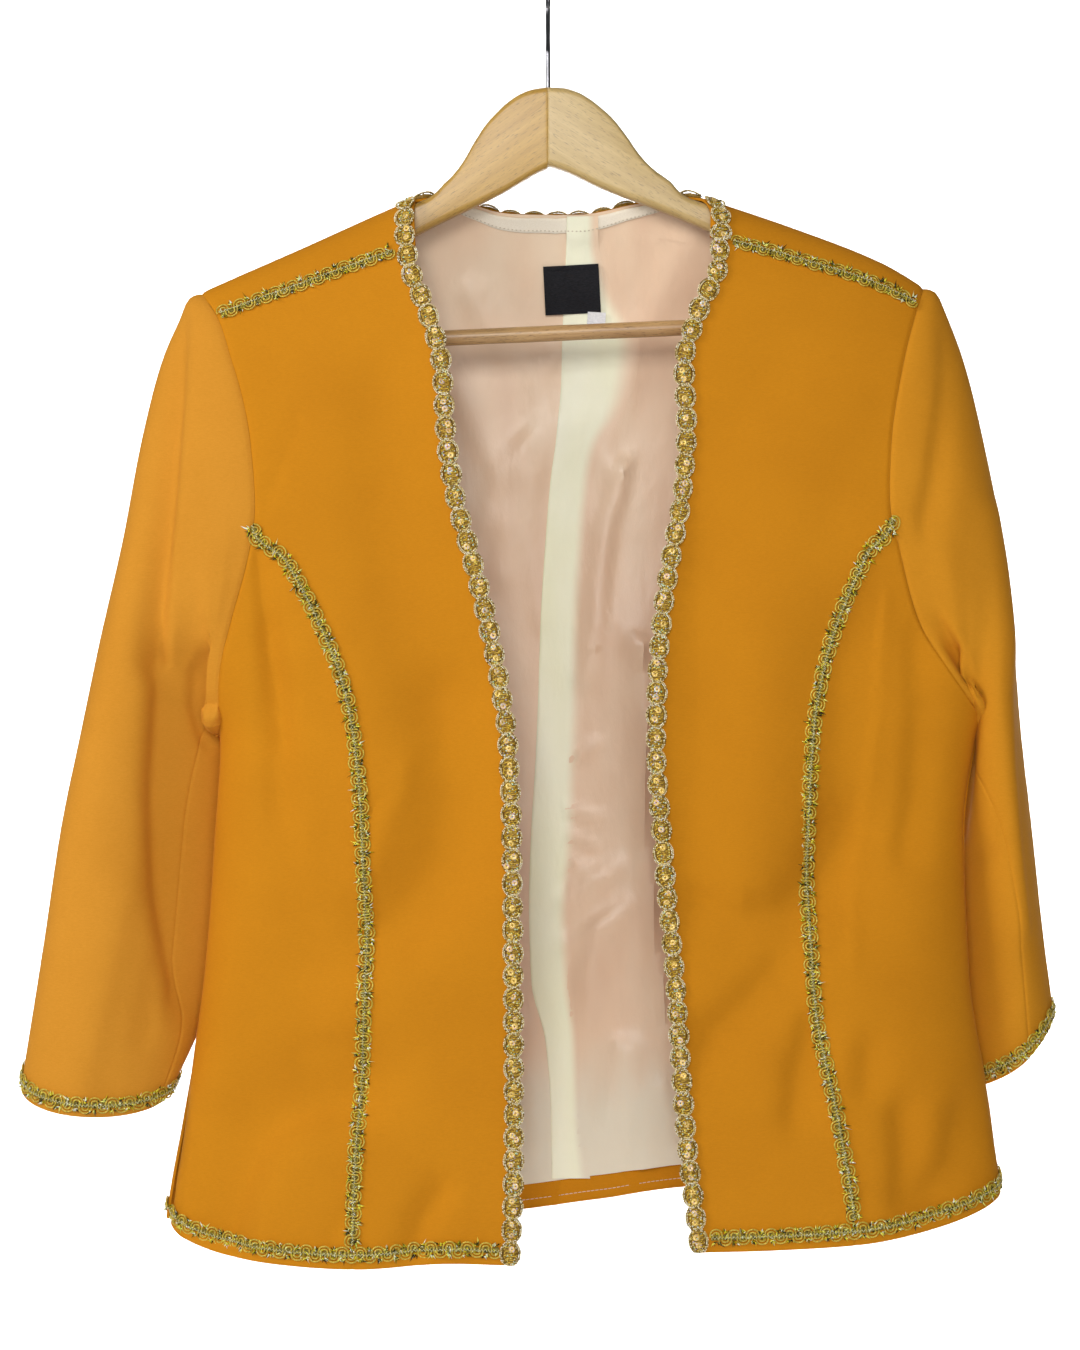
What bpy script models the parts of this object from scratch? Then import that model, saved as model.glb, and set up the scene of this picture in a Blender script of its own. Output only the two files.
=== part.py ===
"""Collarless open blazer with braid trims, hanging on a wooden clothes hanger.

The origin is the point where the hook bears on its rail.  +X is the viewer's right when the
open front is seen, -Y is towards the viewer and +Z is up.  Sizes are in millimetres and are
turned into metres where a mesh or a curve is made.

The cloth follows one surface.  RIDGE is the line of the shoulders seen from the front, and
from it the cloth rounds over to the front and to the back, down to the depth of the body.
A place on it has a turn, which goes from -90 degrees at the left side seam to +90 at the
right one, and a reach, which is 0 on the ridge, negative on the front, positive on the back.
Each panel is a grid of places between its own edges, made into a wall of even thickness.
"""
import math
from collections import namedtuple

import bmesh
import bpy
import numpy as np
from mathutils import Vector
from mathutils.bvhtree import BVHTree

MM = 0.001

# Driving sizes
CLOTH = 2.0             # wall of a cloth panel
SEAM_GAP = 0.3          # between pieces that are sewn together
LINING = 1.0            # wall of the lining, facing and pleat
TRIM_REST = 0.3         # between a trim and the cloth below it, at least
LIFT = 0.15             # step by which a laid piece is raised clear of what is below it
FRONT_DEPTH = 50.0      # from the hanger's plane to the front
BACK_DEPTH = 45.0       # from the hanger's plane to the back
SHOULDER_FALL = 180.0   # how far below the ridge the cloth reaches its full depth
CENTRE_BACK = 5.0       # x of the centre-back seam
NECK_REACH = 0.384      # reach of the back neck edge at the centre back

GIMP_WIDTH, GIMP_RISE, GIMP_PITCH = 12.0, 2.2, 11.0
SEQUIN_WIDTH, SEQUIN_RISE, SEQUIN_PITCH = 13.0, 2.4, 13.7
HEM_BRAID_UP = 9.5      # middle of the hem braid above the hem
CUFF_BRAID_UP = 8.0     # middle of the cuff braid above the cuff

# The top line of the shoulders, seen from the front
RIDGE = [(-320, -254), (-225, -208.2), (-161, -180), (-86.5, -147), (-40, -129.5), (5, -121.5),
         (50, -130), (99, -146), (164, -168), (216, -188.5), (244, -205), (320, -262)]

# Sides and front edges by height.  Above the armholes the sides only set how full the chest is.
Body = namedtuple("Body", "z side_left edge_left edge_right side_right")
BODY = [
    Body(-120, -264, -86.5, 100.0, 300),
    Body(-150, -264, -86.5, 103.0, 300),
    Body(-190, -264, -84.5, 104.5, 300),
    Body(-225, -263, -72.0, 90.5, 300),
    Body(-260, -262, -62.5, 81.0, 300),
    Body(-300, -260, -60.0, 82.5, 300),
    Body(-340, -257, -54.5, 80.0, 300),
    Body(-380, -252, -44.0, 73.0, 299),
    Body(-420, -243, -34.0, 67.0, 297),
    Body(-460, -228, -26.0, 64.0, 292),
    Body(-500, -213, -20.5, 63.2, 279),
    Body(-560, -216.5, -18.0, 67.0, 271.5),
    Body(-650, -223, -17.0, 75.3, 274),
    Body(-740, -237, -16.6, 81.5, 288),
    Body(-790, -246, -17.2, 87.0, 294),
    Body(-840, -253, -20.0, 93.0, 299),
]

# Lower edge of the cloth across the front and the back
Hem = namedtuple("Hem", "x front back")
HEM = [
    Hem(-256, -806, -806),
    Hem(-240, -819, -813),
    Hem(-208, -828, -817),
    Hem(-124, -834, -818),
    Hem(-60, -830, -815),
    Hem(-20, -831, -811.6),
    Hem(35, -828, -804),
    Hem(92, -823, -796),
    Hem(134, -822, -794),
    Hem(196, -819, -793),
    Hem(248, -810, -792),
    Hem(280, -800, -791),
    Hem(300, -790, -790),
]

# Curved seam between the centre front and the side front
Princess = namedtuple("Princess", "z left right")
PRINCESS = [
    Princess(-340, -196, 222),
    Princess(-360, -184.6, 212.5),
    Princess(-380, -169, 202.7),
    Princess(-420, -147, 186),
    Princess(-460, -131, 174.8),
    Princess(-500, -122.8, 168.9),
    Princess(-560, -118, 166.8),
    Princess(-650, -116, 168.4),
    Princess(-740, -121, 184),
    Princess(-790, -123.5, 192.7),
    Princess(-840, -124.5, 198),
]
PRINCESS_TOP = {"left": -360, "right": -355}

# Armhole seam by the share of its height, from the shoulder ridge down to the underarm
Armhole = namedtuple("Armhole", "share left right")
ARMHOLE = [
    Armhole(0.00, -225.0, 243.8),
    Armhole(0.07, -212.3, 236.5),
    Armhole(0.15, -204.5, 229.8),
    Armhole(0.25, -195.7, 223.7),
    Armhole(0.35, -190.2, 219.5),
    Armhole(0.50, -187.0, 217.5),
    Armhole(0.62, -192.3, 225.0),
    Armhole(0.75, -202.7, 236.0),
    Armhole(0.87, -211.5, 257.0),
    Armhole(1.00, -215.0, 283.0),
]
UNDERARM = {"left": -492, "right": -487}

# Shoulder seam, which lies forward of the ridge: how far below it, at the neck and at the tip
SHOULDER_SEAM = {"left": (34, 22), "right": (27, 17)}

# Neckline over the shoulders and round the back, by reach
Neck = namedtuple("Neck", "reach left right")
NECK = [
    Neck(-0.42, -85.2, 106.0),
    Neck(-0.30, -87.2, 106.5),
    Neck(0.00, -86.5, 99.0),
    Neck(0.07, -79.0, 91.0),
    Neck(0.15, -68.0, 80.0),
    Neck(0.235, -55.0, 64.0),
    Neck(0.285, -45.0, 51.0),
    Neck(0.335, -32.0, 37.0),
    Neck(0.37, -14.0, 23.0),
    Neck(0.384, 5.0, 5.0),
]

# Sleeve sections: outer and inner points of each ring, how deep it is, how far its front dips
# at the lower end, and how much its front is thinned where it lies against the body
Ring = namedtuple("Ring", "along outer_x outer_z inner_x inner_z inner_y outer_y depth dip thin")
SLEEVE = {
    "left": [
        Ring(0.00, -225, -208, -215, -492, 1, 0, 42, 0, 0),
        Ring(0.016, -233, -211.5, -217, -491, 1, 0, 42, 0, 0),
        Ring(0.045, -239.5, -225, -218, -491, 1, 0, 42, 0, 0),
        Ring(0.105, -252, -255, -218, -492, 2, 0, 41, 0, 0),
        Ring(0.20, -264, -304, -218, -494, 3, -1, 40, 0, 0.05),
        Ring(0.32, -276, -369, -218, -500, 4, -2, 39, 0, 0.15),
        Ring(0.45, -290.6, -434, -218.5, -518, 5, -3, 38, 0, 0.25),
        Ring(0.56, -303, -493, -220, -550, 6, -3, 36, 1, 0.3),
        Ring(0.68, -316, -556, -222, -600, 6, -3, 35, 3, 0.3),
        Ring(0.82, -327, -629, -228, -662, 5, -3, 33, 8, 0.2),
        Ring(1.00, -342, -723, -245, -727, 2, -3, 30, 15, 0.1),
    ],
    "right": [
        Ring(0.00, 243.8, -205, 283, -487, 1, 0, 42, 0, 0),
        Ring(0.016, 251.6, -208, 285.5, -486.5, 1, 0, 42, 0, 0),
        Ring(0.045, 258.5, -222, 287, -487, 2, 0, 42, 0, 0),
        Ring(0.105, 269.5, -250, 287.5, -489, 2, 1, 42, 0, 0),
        Ring(0.20, 283, -304, 287.5, -493, 3, 3, 41, 0, 0.05),
        Ring(0.32, 295.8, -369, 287, -501, 4, 6, 40, 0, 0.1),
        Ring(0.45, 304.2, -434, 285.5, -518, 7, 9, 40, 0, 0.15),
        Ring(0.56, 309.5, -493, 283, -540, 13, 12, 39, 1, 0.2),
        Ring(0.68, 317, -556, 276, -580, 28, 15, 37, 3, 0.4),
        Ring(0.82, 325, -625, 264, -648, 48, 19, 35, 8, 0.55),
        Ring(1.00, 333, -683, 253, -729, 64, 22, 34, 14, 0.6),
    ],
}
SLEEVE_RINGS = (0, 0.016, 0.045, 0.1, 0.17, 0.26, 0.36, 0.46, 0.56, 0.67, 0.78, 0.89, 1)
LOOP_FADE = 0.45        # share of the sleeve over which the armhole's shape dies away

# Largest folds, each a soft trough (depth above 0) or ridge along a line seen from the front
Fold = namedtuple("Fold", "x_top z_top x_low z_low half_width depth")
FRONT_FOLDS = [
    Fold(-108, -268, -98, -400, 30, 3.0),
    Fold(-96, -440, -78, -545, 26, 3.5),
    Fold(-44, -650, -190, -800, 24, 4.0),
    Fold(-186, -400, -184, -560, 16, 3.5),
    Fold(124, -250, 138, -420, 30, 2.0),
    Fold(152, -440, 150, -580, 20, 2.5),
    Fold(160, -710, 124, -800, 24, 3.5),
    Fold(232, -395, 230, -490, 16, 3.0),
    Fold(222, -500, 205, -650, 14, -2.0),
    Fold(212, -760, 220, -800, 16, 3.0),
]
BACK_FOLDS = [
    Fold(-150, -300, -120, -560, 32, 3.0),
    Fold(-70, -520, -100, -800, 28, 3.5),
    Fold(60, -430, 78, -760, 30, 3.0),
    Fold(170, -330, 150, -600, 30, 3.0),
    Fold(230, -560, 236, -770, 22, 2.5),
    Fold(-190, -600, -205, -790, 20, 3.0),
]
SLEEVE_FOLDS = {
    "left": [
        Fold(-241, -250, -251, -500, 13, 10.0),
        Fold(-251, -500, -240, -668, 12, 8.0),
        Fold(-226, -408, -216, -440, 8, 4.0),
    ],
    "right": [
        Fold(258, -240, 246, -349, 12, 4.0),
        Fold(258, -400, 276, -450, 14, 1.5),
        Fold(309, -460, 319, -668, 14, 4.0),
    ],
}
SLEEVE_BACK_FOLDS = {
    "left": [Fold(-262, -330, -272, -520, 16, 5.0), Fold(-282, -560, -300, -690, 14, 4.0)],
    "right": [Fold(272, -300, 280, -400, 14, 3.0), Fold(296, -600, 292, -690, 14, 3.0)],
}

# Cream pleat down the middle of the lining
Pleat = namedtuple("Pleat", "z left right")
PLEAT = [
    Pleat(-169, 12.3, 33.5),
    Pleat(-200, 11.0, 42.0),
    Pleat(-237, 9.4, 61.0),
    Pleat(-307, 6.0, 51.0),
    Pleat(-367, -2.5, 34.6),
    Pleat(-420, -5.5, 24.0),
    Pleat(-473, -6.5, 18.0),
    Pleat(-573, -11.8, 14.7),
    Pleat(-650, -12.0, 10.0),
    Pleat(-700, -3.0, 7.5),
    Pleat(-790.5, 2.5, 7.0),
]

LABEL = {"x": 16.0, "z": -201.2, "width": 37.0, "height": 32.0, "tilt": 3.0, "wall": 0.6}
SIZE_TAB = {"x": 32.2, "z": -224.3, "width": 11.5, "height": 11.5, "tilt": -3.0, "wall": 0.5}

# Hanger
WOOD_ROUND = 5.0
WOOD_TILT = 2.5         # degrees, the viewer's right side up
ARM_UNDER_CLOTH = 1.2   # from the cloth's inside down to the top of the arm
BAR_RADIUS = 6.0
BAR_HALF = 186.0
BAR_Z = -234.5
BAR_SOCKET = 8.0
WIRE_RADIUS = 1.55
HOOK_RADIUS = 20.0
NECK_OF_WOOD = -75.0    # top of the wood
# Outline of one arm before the hanger is tilted: its top near the middle, and its underside
ARM_TOP = [(0, -75), (10, -76), (19, -79), (27, -84), (34, -90), (41, -97), (49, -108), (58, -122),
           (66, -131), (76, -139), (86, -148)]
ARM_UNDER = [(0, -126.5), (8, -129.5), (17, -134), (31, -141.5), (67, -157), (97, -171), (140, -195),
             (165, -215), (176, -231), (190, -245), (203, -247), (212, -240), (219, -228)]
ARM_STATIONS = (SEAM_GAP / 2, 5, 10, 15, 20, 25, 30, 35, 40, 45, 50, 55, 60, 66, 73, 80, 88, 98, 110, 125, 140,
                155, 168, 178, 186, 194, 202, 209, 215, 219)
ARM_THICK = [(0, 13.0), (130, 13.0), (175, 12.0), (205, 10.5), (215, 8.0), (219, 5.0)]


def colour(name, rgb, roughness, metallic=0.0):
    """Make one Principled material."""
    material = bpy.data.materials.new(name)
    material.use_nodes = True
    shader = material.node_tree.nodes["Principled BSDF"]
    shader.inputs["Base Color"].default_value = (*rgb, 1)
    shader.inputs["Roughness"].default_value = roughness
    shader.inputs["Metallic"].default_value = metallic
    return material


def smooth(rows, key, x):
    """Value at x of a smooth line through rows of (place, value), with no overshoot."""
    places = [row[0] for row in rows]
    values = [row[key] for row in rows]
    if places[0] > places[-1]:
        places, values = places[::-1], values[::-1]
    x = min(max(x, places[0]), places[-1])
    i = min(max(int(np.searchsorted(places, x, side="right")) - 1, 0), len(places) - 2)
    rise = [(values[k + 1] - values[k]) / (places[k + 1] - places[k]) for k in range(len(places) - 1)]

    def slope(k):
        if k == 0:
            return rise[0]
        if k == len(rise):
            return rise[-1]
        a, b = rise[k - 1], rise[k]
        return 0.0 if a * b <= 0 else 2 * a * b / (a + b)

    width = places[i + 1] - places[i]
    t = (x - places[i]) / width
    return ((2 * t**3 - 3 * t**2 + 1) * values[i] + (t**3 - 2 * t**2 + t) * width * slope(i)
            + (3 * t**2 - 2 * t**3) * values[i + 1] + (t**3 - t**2) * width * slope(i + 1))


def mix(a, b, share):
    return a + (b - a) * share


def unit(v):
    return v / max(float(np.linalg.norm(v)), 1e-9)


def ridge(x):
    return smooth(RIDGE, 1, x)


def hem(x, side):
    return smooth(HEM, 1 if side == "front" else 2, x)


def body_column(name):
    return Body._fields.index(name)


def sides(z):
    return smooth(BODY, body_column("side_left"), z), smooth(BODY, body_column("side_right"), z)


def front_edge(z, hand):
    return smooth(BODY, body_column("edge_" + hand), z)


def armhole(z, hand):
    """x of the armhole seam at a height."""
    share = (ridge(ARMHOLE[0].left if hand == "left" else ARMHOLE[0].right) - z)
    share /= ridge(ARMHOLE[0].left if hand == "left" else ARMHOLE[0].right) - UNDERARM[hand]
    return smooth(ARMHOLE, 1 if hand == "left" else 2, share)


def princess(z, hand):
    return smooth(PRINCESS, 1 if hand == "left" else 2, z)


def drop_and_swell(reach):
    """How far below the ridge a reach lies, and its share of the full depth."""
    quarter = math.pi / 2
    if abs(reach) < 1:
        return SHOULDER_FALL * (1 - math.cos(reach * quarter)), math.sin(abs(reach) * quarter)
    return SHOULDER_FALL * (1 + (abs(reach) - 1) * quarter), 1.0


def reach_of(drop):
    """The reach that lies this far below the ridge."""
    quarter = math.pi / 2
    if drop < SHOULDER_FALL:
        return math.acos(1 - max(drop, 0) / SHOULDER_FALL) / quarter
    return 1 + (drop / SHOULDER_FALL - 1) / quarter


def turn_of(x, z):
    left, right = sides(z)
    return math.asin(min(max((2 * x - left - right) / (right - left), -1), 1))


def x_of(turn, height_at):
    """x at a turn, where the height depends on x."""
    x = 0.0
    for _ in range(12):
        left, right = sides(height_at(x))
        x = (left + right) / 2 + (right - left) / 2 * math.sin(turn)
    return x


def fold_depth(x, z, folds):
    """How far the folds sink the cloth at a place seen from the front."""
    total = 0.0
    for fold in folds:
        start = np.array((fold.x_top, fold.z_top), float)
        line = np.array((fold.x_low, fold.z_low), float) - start
        place = np.array((x, z)) - start
        share = min(max(float(place @ line) / float(line @ line), 0), 1)
        away = float(np.linalg.norm(place - share * line)) / fold.half_width
        total += fold.depth * math.exp(-away * away)
    return total


def smooth_place(turn, reach):
    """The undisturbed surface."""
    drop, swell = drop_and_swell(reach)
    x = x_of(turn, lambda at: ridge(at) - drop)
    depth = swell * math.cos(turn) * math.sqrt(1 + math.sin(turn) ** 2)
    y = -FRONT_DEPTH * depth if reach < 0 else BACK_DEPTH * depth
    return np.array((x, y, ridge(x) - drop))


def outward(turn, reach):
    step = 0.002
    across = smooth_place(turn + step, reach) - smooth_place(turn - step, reach)
    along = smooth_place(turn, reach + step) - smooth_place(turn, reach - step)
    return unit(np.cross(across, along))


def place(turn, reach):
    """A point of the cloth's outside with its folds, and the way out of the cloth there."""
    point = smooth_place(turn, reach)
    normal = outward(turn, reach)
    folds = FRONT_FOLDS if reach < 0 else BACK_FOLDS
    return point - normal * fold_depth(point[0], point[2], folds), normal


def level_row(height_at, start_x, end_x, count, side):
    """Places on one row whose height follows height_at between two edges."""
    ends = []
    for edge in (start_x, end_x):
        z = height_at(0)
        x = edge(z)
        for _ in range(12):
            x = edge(height_at(x))
        ends.append(turn_of(x, height_at(x)))
    row = []
    for i in range(count + 1):
        turn = mix(ends[0], ends[1], i / count)
        x = x_of(turn, height_at)
        reach = reach_of(ridge(x) - height_at(x))
        row.append((turn, -reach if side == "front" else reach))
    return row


def slope_row(reach_start, reach_end, x_start, x_end, count):
    """Places on one row that runs parallel to the ridge, or nearly."""
    def height_at(x, reach):
        return ridge(x) - drop_and_swell(reach)[0]
    first = turn_of(x_start, height_at(x_start, reach_start))
    last = turn_of(x_end, height_at(x_end, reach_end))
    return [(mix(first, last, i / count), mix(reach_start, reach_end, i / count))
            for i in range(count + 1)]


class Grid:
    """Rows and columns of outer points with the ways out, and which edges are seams."""

    def __init__(self, rows):
        self.out = np.array([[place(*spot)[0] for spot in row] for row in rows])
        self.normal = np.array([[place(*spot)[1] for spot in row] for row in rows])
        self.inner = self.out - self.normal * CLOTH

    def part_from(self, seam_points, index, away):
        """Draw the wall back from a seam along the way that points at its neighbour."""
        for (i, j), way in zip(index, away):
            seam = seam_points[i, j]
            for layer in (self.out, self.inner):
                over = float((layer[i, j] - seam) @ way) + SEAM_GAP / 2
                if over > 0:
                    layer[i, j] = layer[i, j] - way * over

    def edge(self, name):
        rows, columns = self.out.shape[:2]
        return {
            "low": [(0, j) for j in range(columns)],
            "high": [(rows - 1, j) for j in range(columns)],
            "start": [(i, 0) for i in range(rows)],
            "end": [(i, columns - 1) for i in range(rows)],
        }[name]

    def ways_off(self, name):
        """For each point of an edge, the way in the cloth that leads off it."""
        index = self.edge(name)
        inward = {"low": (1, 0), "high": (-1, 0), "start": (0, 1), "end": (0, -1)}[name]
        ways = []
        for k, (i, j) in enumerate(index):
            before = self.out[index[max(k - 1, 0)]]
            after = self.out[index[min(k + 1, len(index) - 1)]]
            way = unit(np.cross(self.normal[i, j], unit(after - before)))
            inside = self.out[i + inward[0], j + inward[1]]
            if float((inside - self.out[i, j]) @ way) > 0:
                way = -way
            ways.append(way)
        return ways

    def sew(self, *names):
        """Leave half a seam's gap along these edges."""
        seam_points = self.out.copy()
        for name in names:
            self.part_from(seam_points, self.edge(name), self.ways_off(name))


def wall_mesh(name, out, inner, material, closed=False):
    """One closed body between two grids of the same size; closed joins the last column to the first."""
    rows, columns = out.shape[:2]
    shape = bmesh.new()
    layers = []
    for grid in (out, inner):
        layers.append([[shape.verts.new(Vector(point) * MM) for point in row] for row in grid])
    outer, inside = layers
    last = columns if closed else columns - 1
    for i in range(rows - 1):
        for j in range(last):
            k = (j + 1) % columns
            shape.faces.new((outer[i][j], outer[i][k], outer[i + 1][k], outer[i + 1][j]))
            shape.faces.new((inside[i][j], inside[i + 1][j], inside[i + 1][k], inside[i][k]))
    for j in range(last):
        k = (j + 1) % columns
        shape.faces.new((outer[0][j], inside[0][j], inside[0][k], outer[0][k]))
        shape.faces.new((outer[-1][j], outer[-1][k], inside[-1][k], inside[-1][j]))
    if not closed:
        for i in range(rows - 1):
            shape.faces.new((outer[i][0], outer[i + 1][0], inside[i + 1][0], inside[i][0]))
            shape.faces.new((outer[i][-1], inside[i][-1], inside[i + 1][-1], outer[i + 1][-1]))
    bmesh.ops.triangulate(shape, faces=shape.faces)
    bmesh.ops.recalc_face_normals(shape, faces=shape.faces)
    if shape.calc_volume(signed=True) < 0:
        bmesh.ops.reverse_faces(shape, faces=shape.faces)
    mesh = bpy.data.meshes.new(name)
    shape.to_mesh(mesh)
    shape.free()
    mesh.materials.append(material)
    mesh.shade_smooth()
    mesh.set_sharp_from_angle(angle=math.radians(50))
    made = bpy.data.objects.new(name, mesh)
    PARTS.objects.link(made)
    return made


def cover(*objects):
    """A search tree over objects, used to lay one piece on others."""
    points = []
    faces = []
    for piece in objects:
        base = len(points)
        points += [vertex.co / MM for vertex in piece.data.vertices]
        faces += [[base + k for k in face.vertices] for face in piece.data.polygons]
    return BVHTree.FromPolygons(points, faces)


def seat(tree, point, normal, rest):
    """Slide a point along a way until it lies just above what is below it."""
    hit = tree.ray_cast(Vector(point + normal * 15), Vector(-normal), 20)[0]
    if hit is None:
        return point + normal * rest
    return np.array(hit) + normal * rest


def lift_clear(layers, ways, tree, closed=False):
    """Raise the points of a laid piece, a little at a time, until it clears what is below it."""
    base = layers[0]
    rows, columns = base.shape[:2]
    last = columns if closed else columns - 1
    quads = [(i * columns + j, i * columns + (j + 1) % columns, (i + 1) * columns + (j + 1) % columns,
              (i + 1) * columns + j) for i in range(rows - 1) for j in range(last)]
    faces = []
    for a, b, c, d in quads:
        faces += [(a, b, c), (a, c, d), (a, b, d), (b, c, d)]
    for _ in range(40):
        lowered = (base - ways * LIFT).reshape(-1, 3)
        meets = tree.overlap(BVHTree.FromPolygons([Vector(point) for point in lowered], faces))
        touched = {corner for _, face in meets for corner in faces[face]}
        if not touched:
            return
        for corner in touched:
            i, j = divmod(corner, columns)
            for layer in layers:
                layer[i, j] += ways[i, j] * LIFT


def strip(name, stations, tree, material, width, rise, closed=False):
    """A raised band along stations of (point, normal)."""
    points = [station[0] for station in stations]
    base = []
    ways = []
    for k, (point, normal) in enumerate(stations):
        if closed:
            along = unit(points[(k + 1) % len(points)] - points[k - 1])
        else:
            along = unit(points[min(k + 1, len(points) - 1)] - points[max(k - 1, 0)])
        across = unit(np.cross(normal, along))
        base.append([seat(tree, point + across * width / 2 * s, normal, TRIM_REST) for s in (-1, 0, 1)])
        ways.append([normal] * 3)
    base, ways = np.array(base), np.array(ways)
    if closed:
        base, ways = base.transpose(1, 0, 2), ways.transpose(1, 0, 2)
        heights = np.array((0.45, 1.0, 0.45))[:, None, None] * rise
    else:
        heights = np.array((0.45, 1.0, 0.45))[None, :, None] * rise
    top = base + ways * heights
    lift_clear((base, top), ways, tree, closed)
    return wall_mesh(name, top, base, material, closed)


def evenly(points_at, pitch):
    """Stations a pitch apart along a line of (turn, reach) places given at shares 0 to 1."""
    fine = [place(*points_at(k / 80))[0] for k in range(81)]
    gone = [0.0]
    for a, b in zip(fine, fine[1:]):
        gone.append(gone[-1] + float(np.linalg.norm(b - a)))
    count = max(2, round(gone[-1] / pitch))
    stations = []
    for k in range(count + 1):
        share = float(np.interp(gone[-1] * k / count, gone, np.linspace(0, 1, 81)))
        stations.append(place(*points_at(share)))
    return stations


def front_spot(x, z):
    return turn_of(x, z), -reach_of(ridge(x) - z)


def back_spot(x, z):
    return turn_of(x, z), reach_of(ridge(x) - z)


def neck_x(reach, hand):
    return smooth(NECK, 1 if hand == "left" else 2, reach)


def seam_height(x, hand):
    """Height of the shoulder seam at x."""
    at_neck, at_tip = SHOULDER_SEAM[hand]
    neck, tip = (-86.0, -211.0) if hand == "left" else (105.0, 237.0)
    return ridge(x) - mix(at_neck, at_tip, min(max((x - neck) / (tip - neck), 0), 1))


LAST_SIDE_ROW = 0.8     # the side front ends this far up the last row below the princess seam's top
FRONT_ROWS = [0, 0.028, 0.08, 0.13, 0.18, 0.23, 0.28, 0.33, 0.38, 0.43, 0.48]


def front_panels(hand):
    """Centre front and side front, whose rows meet at the princess seam."""
    def line(share):
        return lambda x: mix(hem(x, "front"), seam_height(x, hand), share)

    def share_at(x, z):
        return (z - hem(x, "front")) / (seam_height(x, hand) - hem(x, "front"))

    def outer(z):
        return princess(z, hand) if z < PRINCESS_TOP[hand] else armhole(z, hand)

    def side(z):
        if z > UNDERARM[hand]:
            return armhole(z, hand)
        return sides(z)[0] if hand == "left" else sides(z)[1]

    underarm_x = sides(UNDERARM[hand])[0] if hand == "left" else sides(UNDERARM[hand])[1]
    underarm = share_at(underarm_x, UNDERARM[hand])
    top_x = princess(PRINCESS_TOP[hand], hand)
    top = share_at(top_x, PRINCESS_TOP[hand])
    low = [s for s in FRONT_ROWS if s < underarm - 0.02] + [underarm]
    middle = [mix(underarm, top, k / 5) for k in range(1, 6)]
    high = [mix(top, 1, k / 7) for k in range(1, 8)]

    centre = Grid([level_row(line(s), lambda z: front_edge(z, hand), outer, 6, "front")
                   for s in low + middle + high])
    last = mix(middle[-2], top, LAST_SIDE_ROW)
    side_rows = [level_row(line(s), lambda z: princess(z, hand), side, 4, "front")
                 for s in low + middle[:-1] + [last]]
    flank = Grid(side_rows)
    below, above = len(side_rows) - 2, len(side_rows) - 1
    for layer in ("out", "normal", "inner"):
        seam = getattr(centre, layer)
        getattr(flank, layer)[-1, 0] = mix(seam[below, -1], seam[above, -1], LAST_SIDE_ROW)
    return centre, flank, len(low) - 1


BACK_SHARES = [0, 0.025, 0.08, 0.13, 0.18, 0.23, 0.28, 0.33, 0.38, 0.43, 0.48]
OVER_SHOULDER = [0.36, 0.31, 0.26, 0.20, 0.13, 0.06, 0.0, -0.06, -0.13, -0.20]


def back_panel(hand):
    """Half of the back, from the centre-back seam to the side, over the ridge to the shoulder seam."""
    neck_drop = drop_and_swell(NECK_REACH)[0]

    def line(share):
        return lambda x: mix(hem(x, "back"), ridge(x) - neck_drop, share)

    def share_at(x, z):
        return (z - hem(x, "back")) / (ridge(x) - neck_drop - hem(x, "back"))

    def side(z):
        if z > UNDERARM[hand]:
            return armhole(z, hand)
        return sides(z)[0] if hand == "left" else sides(z)[1]

    underarm_x = sides(UNDERARM[hand])[0] if hand == "left" else sides(UNDERARM[hand])[1]
    underarm = share_at(underarm_x, UNDERARM[hand])
    shares = [s for s in BACK_SHARES if s < underarm - 0.02] + [underarm]
    corner = len(shares) - 1
    shares += [mix(underarm, 1, k / 9) for k in range(1, 10)]
    rows = [level_row(line(s), lambda z: CENTRE_BACK, side, 8, "back") for s in shares]

    def arm_x(reach):
        x = armhole(-230, hand)
        for _ in range(12):
            x = armhole(ridge(x) - drop_and_swell(reach)[0], hand)
        return x

    for reach in OVER_SHOULDER:
        rows.append(slope_row(reach, reach, neck_x(reach, hand), arm_x(reach), 8))
    rows.append(level_row(lambda x: seam_height(x, hand), lambda z: front_edge(z, hand),
                          lambda z: armhole(z, hand), 8, "front"))
    return Grid(rows), corner, len(shares)


def ring_value(hand, along, field):
    return smooth(SLEEVE[hand], Ring._fields.index(field), along)


def sleeve_base(hand, along, angle):
    """A point of a sleeve's plain ring; angle is 0 outside, 180 degrees at the body, front above 0."""
    out_share = (1 + math.cos(angle)) / 2
    get = lambda field: ring_value(hand, along, field)
    x = mix(get("inner_x"), get("outer_x"), out_share)
    z = mix(get("inner_z"), get("outer_z"), out_share) - get("dip") * math.sin(angle)
    thin = get("thin") if angle > 0 else 0
    deep = get("depth") * (1 - thin * (1 - out_share))
    y = get("inner_y") * (1 - out_share) ** 2 + get("outer_y") * out_share - deep * math.sin(angle)
    return np.array((x, y, z))


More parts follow.
